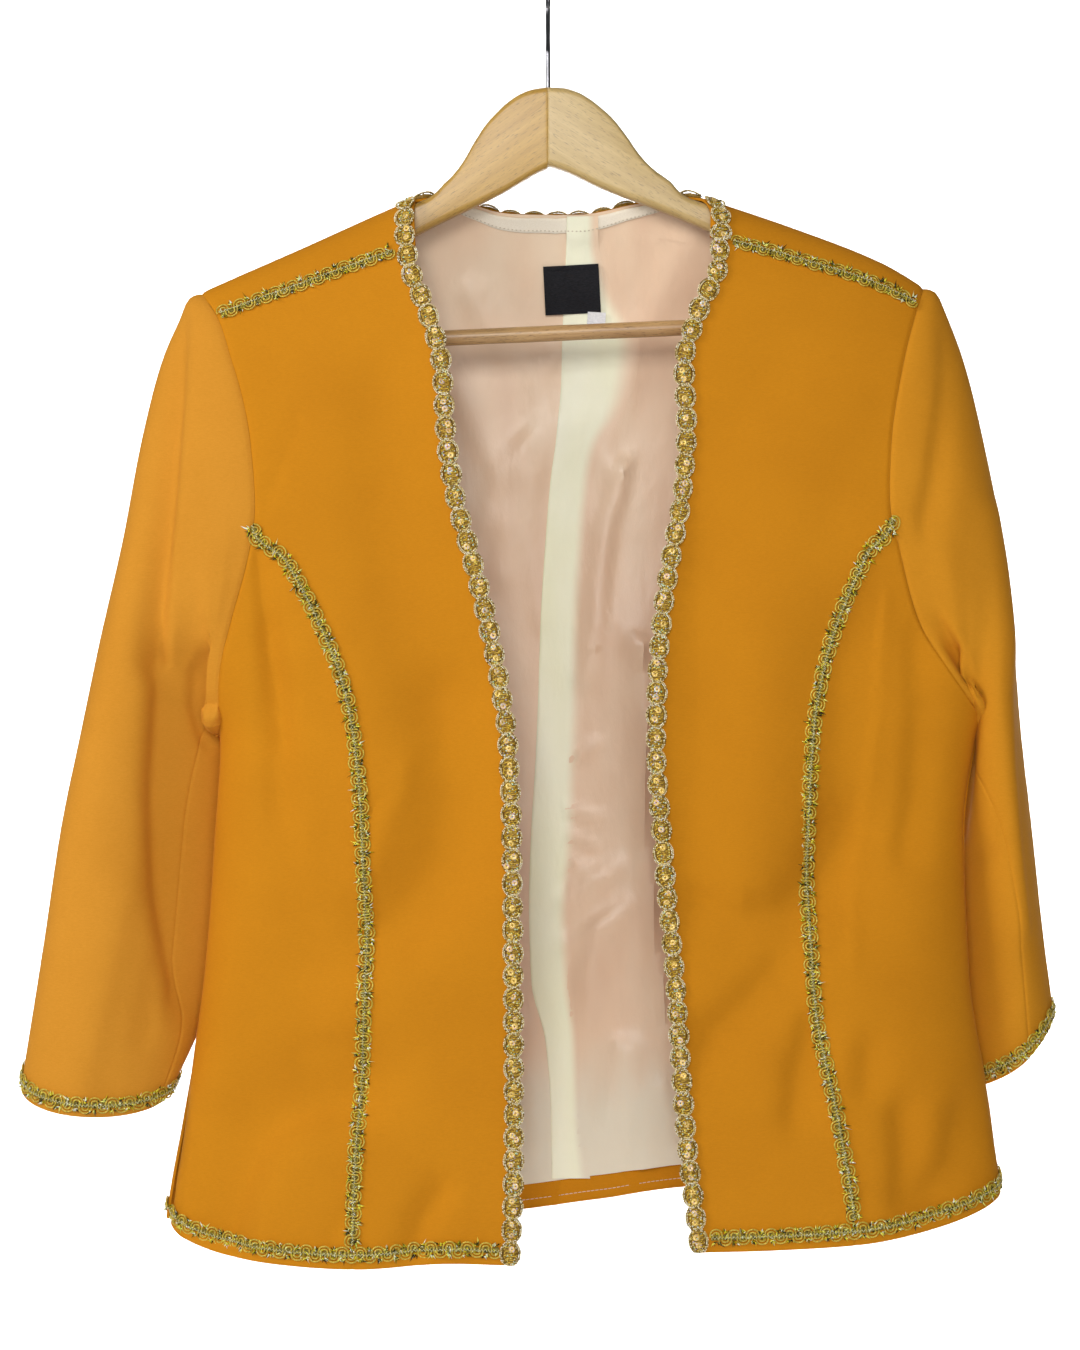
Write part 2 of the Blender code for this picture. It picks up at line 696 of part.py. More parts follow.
def sleeve_grid(hand, loop):
    """Rings from the armhole loop to the cuff."""
    top = ridge(ARMHOLE[0].left if hand == "left" else ARMHOLE[0].right)
    low = UNDERARM[hand]
    angles = []
    for point in loop:
        share = min(max((top - point[2]) / (top - low), 0), 1)
        angle = math.acos(1 - 2 * share)
        angles.append(angle if point[1] < 0 else -angle)
    rings = []
    for along in SLEEVE_RINGS:
        fade = max(1 - along / LOOP_FADE, 0) ** 2
        ring = []
        for angle, point in zip(angles, loop):
            spot = sleeve_base(hand, along, angle) + fade * (point - sleeve_base(hand, 0, angle))
            ring.append(spot)
        rings.append(ring)
    rings = np.array(rings)
    normals = grid_normals(rings)
    centre = rings.mean(axis=1, keepdims=True)
    outward_sum = float(((rings - centre) * normals).sum())
    if outward_sum < 0:
        normals = -normals
    grow = np.array([min(along / 0.1, 1) for along in SLEEVE_RINGS])
    for i in range(len(rings)):
        for j in range(len(angles)):
            x, z = rings[i, j, 0], rings[i, j, 2]
            folds = SLEEVE_FOLDS[hand] if angles[j] > 0 else SLEEVE_BACK_FOLDS[hand]
            sunk = fold_depth(x, z, folds) * grow[i] * abs(math.sin(angles[j]))
            rings[i, j] -= normals[i, j] * sunk
    normals = grid_normals(rings)
    if outward_sum < 0:
        normals = -normals
    return rings, normals


def grid_normals(rings):
    """Ways out of a tube of rings."""
    normals = np.zeros_like(rings)
    rows, columns = rings.shape[:2]
    for i in range(rows):
        down = rings[min(i + 1, rows - 1)] - rings[max(i - 1, 0)]
        for j in range(columns):
            round_way = rings[i, (j + 1) % columns] - rings[i, j - 1]
            normals[i, j] = unit(np.cross(round_way, down[j]))
    return normals


def join_at_armhole(panels, rings, normals):
    """Mitre the armhole: panel and sleeve both stay on their side of the seam's dividing plane.

    panels lists (grid, [(row, column), ...]) in the order of the loop.  The sleeve's inner
    points are returned.
    """
    inner = rings - normals * CLOTH
    loop = rings[0].copy()
    where = [(grid, spot) for grid, spots in panels for spot in spots]
    count = len(loop)
    shared = {}
    for k, spots in enumerate(loop_members(where, loop)):
        tangent = unit(loop[(k + 1) % count] - loop[k - 1])
        leave = rings[1, k] - rings[0, k]
        leave = unit(leave - tangent * float(leave @ tangent))
        body_normal = unit(sum(grid.normal[spot] for grid, spot in spots))
        off = np.cross(body_normal, tangent)
        hub = loop.mean(axis=0)
        if float(off @ (hub - loop[k])) < 0 and abs(float(off @ unit(hub - loop[k]))) > 0.05:
            off = -off
        way = unit(off + leave + 0.05 * body_normal)
        shared[k] = (spots, way)
    for k, (spots, way) in shared.items():
        seam = loop[k]
        for grid, spot in spots:
            for layer in (grid.out, grid.inner):
                over = float((layer[spot] - seam) @ way) + SEAM_GAP / 2
                if over > 0:
                    layer[spot] = layer[spot] - way * over
        for layer in (rings, inner):
            short = SEAM_GAP / 2 - float((layer[0, k] - seam) @ way)
            if short > 0:
                layer[0, k] = layer[0, k] + way * short
    return inner


def loop_members(where, loop):
    """For each loop point, every panel corner that lies on it."""
    members = [[] for _ in loop]
    for grid, spot in where:
        gaps = np.linalg.norm(loop - grid.out[spot], axis=1)
        members[int(gaps.argmin())].append((grid, spot))
    return members


LINING_ROWS_OFF = 7     # rows at the top of a back panel that the lining leaves bare
CENTRE_WAY = {"left": np.array((1.0, 0, 0)), "right": np.array((-1.0, 0, 0))}


def make_half(hand, cloth, sleeve_cloth):
    """Fronts, back and sleeve of one side."""
    centre, flank, corner = front_panels(hand)
    back, back_corner, centre_rows = back_panel(hand)
    rows, columns = centre.out.shape[:2]
    top_row = len(flank.out) - 1
    front_spots = [(i, columns - 1) for i in range(rows - 1, top_row - 1, -1)]
    flank_spots = [(i, flank.out.shape[1] - 1) for i in range(top_row, corner - 1, -1)]
    back_spots = [(i, back.out.shape[1] - 1) for i in range(back_corner, len(back.out) - 1)]
    loop = [centre.out[spot] for spot in front_spots]
    loop += [flank.out[spot] for spot in flank_spots]
    loop += [back.out[spot] for spot in back_spots[1:]]
    loop = np.array(loop)
    rings, normals = sleeve_grid(hand, loop)
    panels = [(centre, front_spots), (flank, flank_spots), (back, back_spots)]
    panels[2][1].append((len(back.out) - 1, back.out.shape[1] - 1))

    centre_seams = ["high"]
    flank_seams = ["start"]
    back_seams = ["start", "high"]
    seam_copies = [grid.out.copy() for grid in (centre, flank, back)]
    inner = join_at_armhole(panels, rings, normals)

    centre.part_from(seam_copies[0], centre.edge("high"), centre.ways_off("high"))
    seam_rows = [(i, columns - 1) for i in range(top_row + 1)]
    ways = centre.ways_off("end")
    centre.part_from(seam_copies[0], seam_rows, ways[:top_row + 1])
    flank.part_from(seam_copies[1], flank.edge("start"), flank.ways_off("start"))
    side_rows = [(i, flank.out.shape[1] - 1) for i in range(corner + 1)]
    flank.part_from(seam_copies[1], side_rows, flank.ways_off("end")[:corner + 1])
    for layer in (flank.out, flank.inner):
        steps = np.linspace(0, 1, layer.shape[1])[:, None]
        start = layer[-1, 0] + unit(layer[-1, -1] - layer[-1, 0]) * 0.6
        layer[-1] = start + (layer[-1, -1] - start) * steps
    centre_spots = back.edge("start")[:centre_rows]
    back.part_from(seam_copies[2], centre_spots, [CENTRE_WAY[hand]] * centre_rows)
    back.part_from(seam_copies[2], back.edge("high"), back.ways_off("high"))
    back_side = [(i, back.out.shape[1] - 1) for i in range(back_corner + 1)]
    back.part_from(seam_copies[2], back_side, back.ways_off("end")[:back_corner + 1])

    made = {
        "front": wall_mesh("front_" + hand, centre.out, centre.inner, cloth),
        "side_front": wall_mesh("side_front_" + hand, flank.out, flank.inner, cloth),
        "back": wall_mesh("back_" + hand, back.out, back.inner, cloth),
    }

    first = len(front_spots) + 3
    last = len(front_spots) + len(flank_spots) + 3
    order_under = list(range(first, last + 1))
    order_upper = list(range(last, len(loop))) + list(range(0, first + 1))
    for name, order in (("sleeve_under_", order_under), ("sleeve_upper_", order_upper)):
        out = rings[:, order].copy()
        low = inner[:, order].copy()
        for i in range(len(out)):
            for end, step in ((0, 1), (-1, -2)):
                beside = out[i, 1] if end == 0 else out[i, step]
                way = unit(beside - out[i, end])
                out[i, end] += way * SEAM_GAP / 2
                low[i, end] += way * SEAM_GAP / 2
        made[name] = wall_mesh(name + hand, out, low, sleeve_cloth)
    return made, centre, flank, back, rings, normals


def scene_start():
    for thing in list(bpy.data.objects):
        bpy.data.objects.remove(thing, do_unlink=True)
    parts = bpy.data.collections.new("blazer_on_hanger")
    bpy.context.scene.collection.children.link(parts)
    cutters = bpy.data.collections.new("cutters")
    bpy.context.scene.collection.children.link(cutters)
    return parts, cutters


def trimmed_spots(spots, count=60):
    """A function of share along a list of places."""
    def at(share):
        position = share * (len(spots) - 1)
        k = min(int(position), len(spots) - 2)
        part = position - k
        return tuple(mix(a, b, part) for a, b in zip(spots[k], spots[k + 1]))
    return at


def shoulder_braid(hand, tree, material):
    """Gimp along the shoulder seam, from the sequin braid to the armhole."""
    sign = -1 if hand == "left" else 1
    z = ridge(sign * 95) - SHOULDER_SEAM[hand][0]
    start = front_edge(z, hand) + sign * (SEQUIN_WIDTH + 3.5)
    tip = armhole(z - 40, hand)
    for _ in range(12):
        tip = armhole(seam_height(tip, hand), hand)
    end = tip - sign * 2.5
    line = lambda share: front_spot(mix(start, end, share), seam_height(mix(start, end, share), hand))
    stations = evenly(line, GIMP_PITCH)
    strip("braid_shoulder_" + hand, stations, tree, material, GIMP_WIDTH, GIMP_RISE)


def princess_braid(hand, tree, material):
    """Gimp down the princess seam, from the armhole to the hem braid."""
    top = PRINCESS_TOP[hand] - 1.5
    low = hem(princess(-830, hand), "front") + HEM_BRAID_UP + GIMP_WIDTH / 2 + 2.0
    line = lambda share: front_spot(princess(mix(top, low, share), hand), mix(top, low, share))
    stations = evenly(line, GIMP_PITCH)
    strip("braid_princess_" + hand, stations, tree, material, GIMP_WIDTH, GIMP_RISE)


def hem_braid(hand, tree, material):
    """Gimp above the hem, from the front corner round the side to the centre back."""
    sign = -1 if hand == "left" else 1
    level = hem(sign * 30, "front")
    start = front_edge(level, hand) + sign * (SEQUIN_WIDTH + 1.5)
    end = CENTRE_BACK + sign * 0.6
    quarter = math.pi / 2

    def spot(share):
        first = turn_of(start, level)
        last = turn_of(end, level)
        length = abs(sign * quarter - first) + abs(last - sign * quarter)
        gone = share * length
        on_front = gone < abs(sign * quarter - first)
        turn = first + sign * gone
        if not on_front:
            turn = sign * quarter - sign * (gone - abs(sign * quarter - first))
        side = "front" if on_front else "back"
        x = x_of(turn, lambda at: hem(at, side) + HEM_BRAID_UP)
        reach = reach_of(ridge(x) - hem(x, side) - HEM_BRAID_UP)
        return turn, -reach if on_front else reach

    stations = evenly(spot, GIMP_PITCH)
    strip("braid_hem_" + hand, stations, tree, material, GIMP_WIDTH, GIMP_RISE)


def cuff_braid(hand, rings, normals, tree, material):
    """A closed band of gimp round the cuff."""
    below = rings[-1]
    above = rings[-2]
    reach = CUFF_BRAID_UP / np.linalg.norm(above - below, axis=1)[:, None]
    loop = below + (above - below) * reach
    ways = normals[-1]
    closed = np.vstack([loop, loop[:1]])
    facing = np.vstack([ways, ways[:1]])
    gone = np.concatenate([[0], np.cumsum(np.linalg.norm(np.diff(closed, axis=0), axis=1))])
    count = round(gone[-1] / GIMP_PITCH)
    stations = []
    for k in range(count):
        at = gone[-1] * k / count
        point = np.array([np.interp(at, gone, closed[:, axis]) for axis in range(3)])
        way = unit(np.array([np.interp(at, gone, facing[:, axis]) for axis in range(3)]))
        stations.append((point, way))
    strip("braid_cuff_" + hand, stations, tree, material, GIMP_WIDTH, GIMP_RISE, closed=True)


def edge_braid(hand, tree, material):
    """Sequin braid up the front edge, from the hem to the top of the shoulder."""
    sign = -1 if hand == "left" else 1
    low = hem(front_edge(-830, hand), "front") + 0.8
    high = seam_height(sign * 100, hand)
    heights = np.linspace(low, high, 90)
    spots = [front_spot(front_edge(z, hand) + sign * SEQUIN_WIDTH / 2, z) for z in heights]
    seam_reach = spots[-1][1]
    for reach in np.linspace(seam_reach, -0.02, 12)[1:]:
        x = neck_x(reach, hand) + sign * SEQUIN_WIDTH / 2
        spots.append((turn_of(x, ridge(x) - drop_and_swell(reach)[0]), reach))
    stations = evenly(trimmed_spots(spots), SEQUIN_PITCH)
    strip("sequin_edge_" + hand, stations, tree, material, SEQUIN_WIDTH, SEQUIN_RISE)


def neck_braid(tree, material):
    """Sequin braid round the outside of the back neck, its upper scallops above the edge."""
    spots = []
    for hand, sign, order in (("left", -1, 1), ("right", 1, -1)):
        half = []
        for reach in np.linspace(0.05, NECK_REACH, 24):
            x = neck_x(reach, hand)
            out = x + sign * NECK_BRAID_DOWN * (1 - reach / NECK_REACH)
            deep = reach + NECK_BRAID_DOWN * NECK_REACH_PER_MM * (reach / NECK_REACH)
            half.append((turn_of(out, ridge(out) - drop_and_swell(deep)[0]), deep))
        spots += half[::order] if hand == "left" else half[::order][1:]
    stations = evenly(trimmed_spots(spots), SEQUIN_PITCH)
    strip("sequin_neck", stations, tree, material, SEQUIN_WIDTH, SEQUIN_RISE)


NECK_BRAID_DOWN = 5.5   # middle of the neck braid below the neck edge
NECK_REACH_PER_MM = 0.0063


def inside_wall(name, grid, rows, first_column, last_column, material, rest, wall):
    """A thin layer on the inside of a panel, made from its own points."""
    cut = slice(rows[0], rows[-1] + 1)
    columns = slice(first_column, last_column + 1)
    ways = grid.normal[cut, columns]
    near = grid.inner[cut, columns] - ways * rest
    far = near - ways * wall
    for layer in (near, far):
        side = layer[:, -1] - layer[:, -2]
        layer[:, -1] -= side / np.linalg.norm(side, axis=1)[:, None] * LINING_EASE
    return wall_mesh(name, near, far, material)


LINING_EASE = 2.5       # the lining stops short of the side seam and armhole


def patch_on(name, corners, counts, tree, material, rest, wall):
    """A thin piece laid on the lining; corners are (x, z) low-left, low-right, high-left, high-right."""
    low_left, low_right, high_left, high_right = (np.array(corner, float) for corner in corners)
    near = []
    for i in range(counts[0] + 1):
        row = []
        for j in range(counts[1] + 1):
            low = mix(low_left, low_right, j / counts[1])
            high = mix(high_left, high_right, j / counts[1])
            x, z = mix(low, high, i / counts[0])
            row.append(laid(tree, x, z, rest))
        near.append(row)
    near = np.array(near)
    far = near - np.array((0, wall, 0))
    lift_clear((near, far), np.full(near.shape, (0.0, -1.0, 0.0)), tree)
    return wall_mesh(name, near, far, material)


def laid(tree, x, z, rest):
    """The point in front of the lining at x, z, seen from the open front."""
    depths = []
    for beside in (-0.6, 0.6):
        hit = tree.ray_cast(Vector((x + beside, 0, z)), Vector((0, 1, 0)), 200)[0]
        if hit is not None:
            depths.append(hit.y)
    if not depths:
        raise ValueError(f"nothing behind x {x:.1f}, z {z:.1f}")
    return np.array((x, min(depths) - rest, z))


def pleat(tree, material):
    """The cream pleat down the lining, from the facing to the lining's hem."""
    near = []
    for z in np.linspace(PLEAT[-1].z, PLEAT[0].z, 25):
        left, right = smooth(PLEAT, 1, z), smooth(PLEAT, 2, z)
        near.append([laid(tree, mix(left, right, j / 4), z, 0.35) for j in range(5)])
    near = np.array(near)
    far = near - np.array((0, LINING, 0))
    lift_clear((near, far), np.full(near.shape, (0.0, -1.0, 0.0)), tree)
    return wall_mesh("lining_pleat", near, far, material)


def facing(material):
    """The band inside the back neck, between the two arms of the hanger."""
    near = []
    far = []
    for share in np.linspace(0, 1, 17):
        x = mix(FACING_SPAN[0], FACING_SPAN[1], share)
        edge = reach_at(x, "left" if x < CENTRE_BACK else "right")
        near_row, far_row = [], []
        for k in range(3):
            reach = edge + FACING_BELOW + FACING_HIGH * k / 2
            spot = turn_of(x, ridge(x) - drop_and_swell(reach)[0]), reach
            point, normal = place(*spot)
            near_row.append(point - normal * (CLOTH + LINING + 1.3))
            far_row.append(point - normal * (CLOTH + 2 * LINING + 1.3))
        near.append(near_row)
        far.append(far_row)
    return wall_mesh("neck_facing", np.array(near), np.array(far), material)


FACING_SPAN = (-50.0, 57.0)
FACING_BELOW = 0.006    # reach from the neck edge to the facing
FACING_HIGH = 0.062     # reach from the facing's top to its foot


def reach_at(x, hand):
    """Reach of the back neck edge at x."""
    rows = [(row.left if hand == "left" else row.right, row.reach) for row in NECK if row.reach >= 0]
    if hand == "left":
        return smooth(rows, 1, x)
    return smooth(rows[::-1], 1, x)


def tilted_patch(name, size, tree, material):
    """The label or its size tab, a small tilted rectangle."""
    turn = math.radians(size["tilt"])
    across = np.array((math.cos(turn), math.sin(turn)))
    up = np.array((-math.sin(turn), math.cos(turn)))
    middle = np.array((size["x"], size["z"]))
    half_wide, half_high = size["width"] / 2, size["height"] / 2
    corners = [middle + across * a * half_wide + up * b * half_high for b in (-1, 1) for a in (-1, 1)]
    return patch_on(name, corners, (3, 3), tree, material, 0.35, size["wall"])


def tilt(x, z):
    """Turn a point of the level hanger to how it hangs."""
    angle = math.radians(WOOD_TILT)
    return x * math.cos(angle) - z_from_top(z) * math.sin(angle), \
        NECK_OF_WOOD + x * math.sin(angle) + z_from_top(z) * math.cos(angle)


def z_from_top(z):
    return z - NECK_OF_WOOD


def rounded_section(x, top, under, thick):
    """A ring of points round one upright section of an arm."""
    middle, half_high, half_thick = (top + under) / 2, (top - under) / 2, thick / 2
    rounding = min(WOOD_ROUND, half_high * 0.9, half_thick * 0.9)
    ring = []
    for corner, start in enumerate((0, 90, 180, 270)):
        y_sign = 1 if corner in (0, 3) else -1
        z_sign = 1 if corner < 2 else -1
        for step in (0, 45, 90):
            angle = math.radians(start + step)
            ring.append((x, y_sign * (half_thick - rounding) + rounding * math.cos(angle),
                         middle + z_sign * (half_high - rounding) + rounding * math.sin(angle)))
    return ring


def loft(name, rings, material):
    """One closed body through rings of points, with flat ends."""
    shape = bmesh.new()
    loops = [[shape.verts.new(Vector(point) * MM) for point in ring] for ring in rings]
    for low, high in zip(loops, loops[1:]):
        for k in range(len(low)):
            shape.faces.new((low[k - 1], low[k], high[k], high[k - 1]))
    shape.faces.new(loops[0])
    shape.faces.new(loops[-1])
    bmesh.ops.triangulate(shape, faces=shape.faces)
    bmesh.ops.recalc_face_normals(shape, faces=shape.faces)
    mesh = bpy.data.meshes.new(name)
    shape.to_mesh(mesh)
    shape.free()
    mesh.materials.append(material)
    mesh.shade_smooth()
    mesh.set_sharp_from_angle(angle=math.radians(35))
    made = bpy.data.objects.new(name, mesh)
    PARTS.objects.link(made)
    return made


def arm(hand, material):
    """One wooden arm, mitred at the middle; its far end reaches down to hold the bar."""
    sign = -1 if hand == "left" else 1
    tops = sorted(tilt(sign * x, z) for x, z in ARM_TOP)
    unders = sorted(tilt(sign * x, z) for x, z in ARM_UNDER)
    rings = []
    for out in ARM_STATIONS:
        x = sign * out
        covered = ridge(x) - (CLOTH + ARM_UNDER_CLOTH) * 1.12
        near_top = smooth(tops, 1, x)
        share = min(max((out - abs(neck_x(0, hand)) + 19) / 12, 0), 1)
        top = mix(near_top, covered, share)
        under = smooth(unders, 1, x)
        rings.append(rounded_section(x, top, under, smooth(ARM_THICK, 1, out)))
    return loft("hanger_arm_" + hand, rings, material)


def cylinder(name, start, end, radius, sides_round, collection):
    """A round bar between two points given in millimetres."""
    start, end = Vector(start), Vector(end)
    bpy.ops.mesh.primitive_cylinder_add(vertices=sides_round, radius=radius * MM,
                                        depth=(end - start).length * MM, location=(0, 0, 0))
    made = bpy.context.object
    made.name = name
    made.data.name = name
    made.data.transform((end - start).to_track_quat("Z", "Y").to_matrix().to_4x4())
    made.location = (start + end) / 2 * MM
    for holder in list(made.users_collection):
        holder.objects.unlink(made)
    collection.objects.link(made)
    return made


def socket_cut(wood, hand):
    """Bore the arm for the end of the bar."""
    sign = -1 if hand == "left" else 1
    deep = tilt(sign * (BAR_HALF + 0.3), BAR_Z)
    mouth = tilt(sign * (BAR_HALF - BAR_SOCKET - 30), BAR_Z)
    cutter = cylinder("socket_" + hand, (mouth[0], 0, mouth[1]), (deep[0], 0, deep[1]),
                      BAR_RADIUS + 0.3, 24, CUTTERS)
    cutter.hide_render = True
    cutter.display_type = "WIRE"
    bore = wood.modifiers.new("bar socket", "BOOLEAN")
    bore.operation = "DIFFERENCE"
    bore.solver = "EXACT"
    bore.object = cutter


def hook(material):
    """Wire from inside the wood up and round the rail, in the plane across the hanger."""
    centre = -(HOOK_RADIUS - WIRE_RADIUS)
    start, stop = math.radians(-38), math.radians(205)
    arc = [(HOOK_RADIUS * math.cos(a), centre + HOOK_RADIUS * math.sin(a))
           for a in np.linspace(start, stop, 26)]
    first = arc[0]
    base = NECK_OF_WOOD + SEAM_GAP
    knee = (0.0, first[1] - 22.0)
    rise = []
    for k in range(1, 6):
        t = k / 6
        rise.append((first[0] * t * t * (3 - 2 * t), mix(knee[1], first[1], t)))
    points = [(0.0, base), (0.0, mix(base, knee[1], 0.5)), knee] + rise + arc
    curve = bpy.data.curves.new("hanger_hook", "CURVE")
    curve.dimensions = "3D"
    curve.bevel_depth = WIRE_RADIUS * MM
    curve.bevel_resolution = 2
    curve.use_fill_caps = True
    line = curve.splines.new("POLY")
    line.points.add(len(points) - 1)
    for point, (y, z) in zip(line.points, points):
        point.co = (0, y * MM, z * MM, 1)
    curve.materials.append(material)
    made = bpy.data.objects.new("hanger_hook", curve)
    PARTS.objects.link(made)
    return made


PARTS, CUTTERS = scene_start()
CREPE = colour("golden_crepe", (0.71, 0.30, 0.02), 0.8)
SLEEVE_CREPE = colour("golden_crepe_sleeve", (0.73, 0.32, 0.025), 0.8)
GIMP = colour("gold_gimp_braid", (0.62, 0.50, 0.06), 0.4, 0.6)
SEQUIN = colour("sequin_braid", (0.80, 0.58, 0.25), 0.35, 0.6)
SATIN = colour("peach_satin", (0.80, 0.60, 0.46), 0.45)
CREAM = colour("cream_satin", (0.80, 0.74, 0.50), 0.5)
FACING = colour("white_facing", (0.82, 0.78, 0.68), 0.7)
LABEL_BLACK = colour("label_black", (0.015, 0.015, 0.017), 0.7)
TAB_WHITE = colour("tab_white", (0.8, 0.8, 0.78), 0.7)
BEECH = colour("pale_beech", (0.63, 0.42, 0.22), 0.5)
WIRE = colour("chromed_wire", (0.7, 0.7, 0.72), 0.25, 1.0)

HALVES = {hand: make_half(hand, CREPE, SLEEVE_CREPE) for hand in ("left", "right")}

for hand, (made, centre, flank, back, rings, normals, *rest) in HALVES.items():
    fronts = cover(made["front"], made["side_front"], made["back"])
    shoulder_braid(hand, fronts, GIMP)
    princess_braid(hand, fronts, GIMP)
    hem_braid(hand, fronts, GIMP)
    edge_braid(hand, fronts, SEQUIN)
    sleeve = cover(made["sleeve_under_"], made["sleeve_upper_"])
    cuff_braid(hand, rings, normals, sleeve, GIMP)
    rows = range(1, len(back.out) - LINING_ROWS_OFF)
    lining = inside_wall("lining_back_" + hand, back, rows, 0, back.out.shape[1] - 1, SATIN, 0.35, LINING)

backs = cover(*[HALVES[hand][0]["back"] for hand in HALVES])
neck_braid(backs, SEQUIN)

linings = cover(*[thing for thing in PARTS.objects if thing.name.startswith("lining_back")])
facing(FACING)
pleat(linings, CREAM)
below_label = cover(*[thing for thing in PARTS.objects if thing.name.startswith("lining_")])
tilted_patch("label", LABEL, below_label, LABEL_BLACK)
tilted_patch("size_tab", SIZE_TAB, below_label, TAB_WHITE)

for hand in HALVES:
    socket_cut(arm(hand, BEECH), hand)
bar_left, bar_right = tilt(-BAR_HALF, BAR_Z), tilt(BAR_HALF, BAR_Z)
bar = cylinder("hanger_bar", (bar_left[0], 0, bar_left[1]), (bar_right[0], 0, bar_right[1]),
               BAR_RADIUS, 24, PARTS)
bar.data.materials.append(BEECH)
bar.data.shade_smooth()
bar.data.set_sharp_from_angle(angle=math.radians(50))
hook(WIRE)
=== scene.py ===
# %% [markdown]
# A collarless blazer in golden crepe hangs open on a beech clothes hanger.  model.glb gives the
# solids of every panel, braid and piece of wood, and this lesson dresses them.  It sets the camera
# first and then goes as a tailor would: the surface that the cloth hangs in, then the panels,
# sleeves and lining, then the trims, and last the hanger and the light.

import itertools
import math
from collections import namedtuple

import bpy
import numpy as np
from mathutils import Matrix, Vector


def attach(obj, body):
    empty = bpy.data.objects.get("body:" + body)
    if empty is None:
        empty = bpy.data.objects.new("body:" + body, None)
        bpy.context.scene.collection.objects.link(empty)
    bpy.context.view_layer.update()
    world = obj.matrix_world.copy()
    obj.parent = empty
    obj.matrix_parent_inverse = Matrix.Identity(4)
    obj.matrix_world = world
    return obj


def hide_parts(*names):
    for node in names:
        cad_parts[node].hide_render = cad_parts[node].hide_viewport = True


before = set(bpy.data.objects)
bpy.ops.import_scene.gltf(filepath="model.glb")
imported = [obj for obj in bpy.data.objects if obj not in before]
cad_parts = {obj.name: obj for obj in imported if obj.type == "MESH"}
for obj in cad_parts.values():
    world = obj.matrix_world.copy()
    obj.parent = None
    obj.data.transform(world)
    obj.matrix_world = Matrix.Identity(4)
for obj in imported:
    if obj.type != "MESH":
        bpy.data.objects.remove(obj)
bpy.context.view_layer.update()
MM = 0.001
print("CAD nodes:", len(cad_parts))

# %% [markdown]
# The camera stands two metres in front of the jacket, level with its middle, and looks along +Y.
# A long lens keeps the sides straight, as in a studio picture of clothes.  The lens could be
# found by eye, but here it follows from the size of the picture: 0.65 mm of the jacket fills one
# of its 1350 rows at that distance.

# %% Camera
def stand(name, data):
    """A new object in the scene."""
    made = bpy.data.objects.new(name, data)
    bpy.context.scene.collection.objects.link(made)
    return made


CAMERA_AT = (-0.0052, -2.0, -0.45655)
PICTURE_ROWS, MM_A_ROW = 1350, 0.65
SENSOR = 36.0
eye = bpy.data.cameras.new("studio_camera")
eye.sensor_fit = "VERTICAL"
eye.sensor_height = SENSOR
eye.lens = SENSOR * -CAMERA_AT[1] / (PICTURE_ROWS * MM_A_ROW * MM)
eye.clip_start, eye.clip_end = 0.05, 50
camera = stand("studio_camera", eye)
camera.location = CAMERA_AT
camera.rotation_euler = (math.radians(90), 0, 0)
bpy.context.scene.camera = camera
print(f"lens {eye.lens:.1f} mm")

# %% [markdown]
# The finishes are made of shader nodes.  Wiring them one by one hides the idea behind them, so a
# small class holds one socket and turns sums written on it into Math nodes.

# %% Shader sums as sums
class Flow:
    """A number that comes out of a node."""

    def __init__(self, finish, socket):
        self.finish, self.socket = finish, socket

    def maths(self, operation, *values):
        node = self.finish.add("Math", {"operation": operation}, dict(enumerate(values)))
        return Flow(self.finish, node.outputs[0])

    def __add__(self, other):
        return self.maths("ADD", self, other)

    def __sub__(self, other):
        return self.maths("SUBTRACT", self, other)

    def __rsub__(self, other):
        return self.maths("SUBTRACT", other, self)

    def __mul__(self, other):
        return self.maths("MULTIPLY", self, other)

    __radd__, __rmul__ = __add__, __mul__


print("sums on a Flow become Math nodes")

# %% [markdown]
# A Finish holds one material.  Its add() makes any node from a kind, its settings and its sockets,
# so the other methods are short, and principled() sets the surface.  The nodes could be drawn by
# hand in the editor, but then they could not be read as a text.

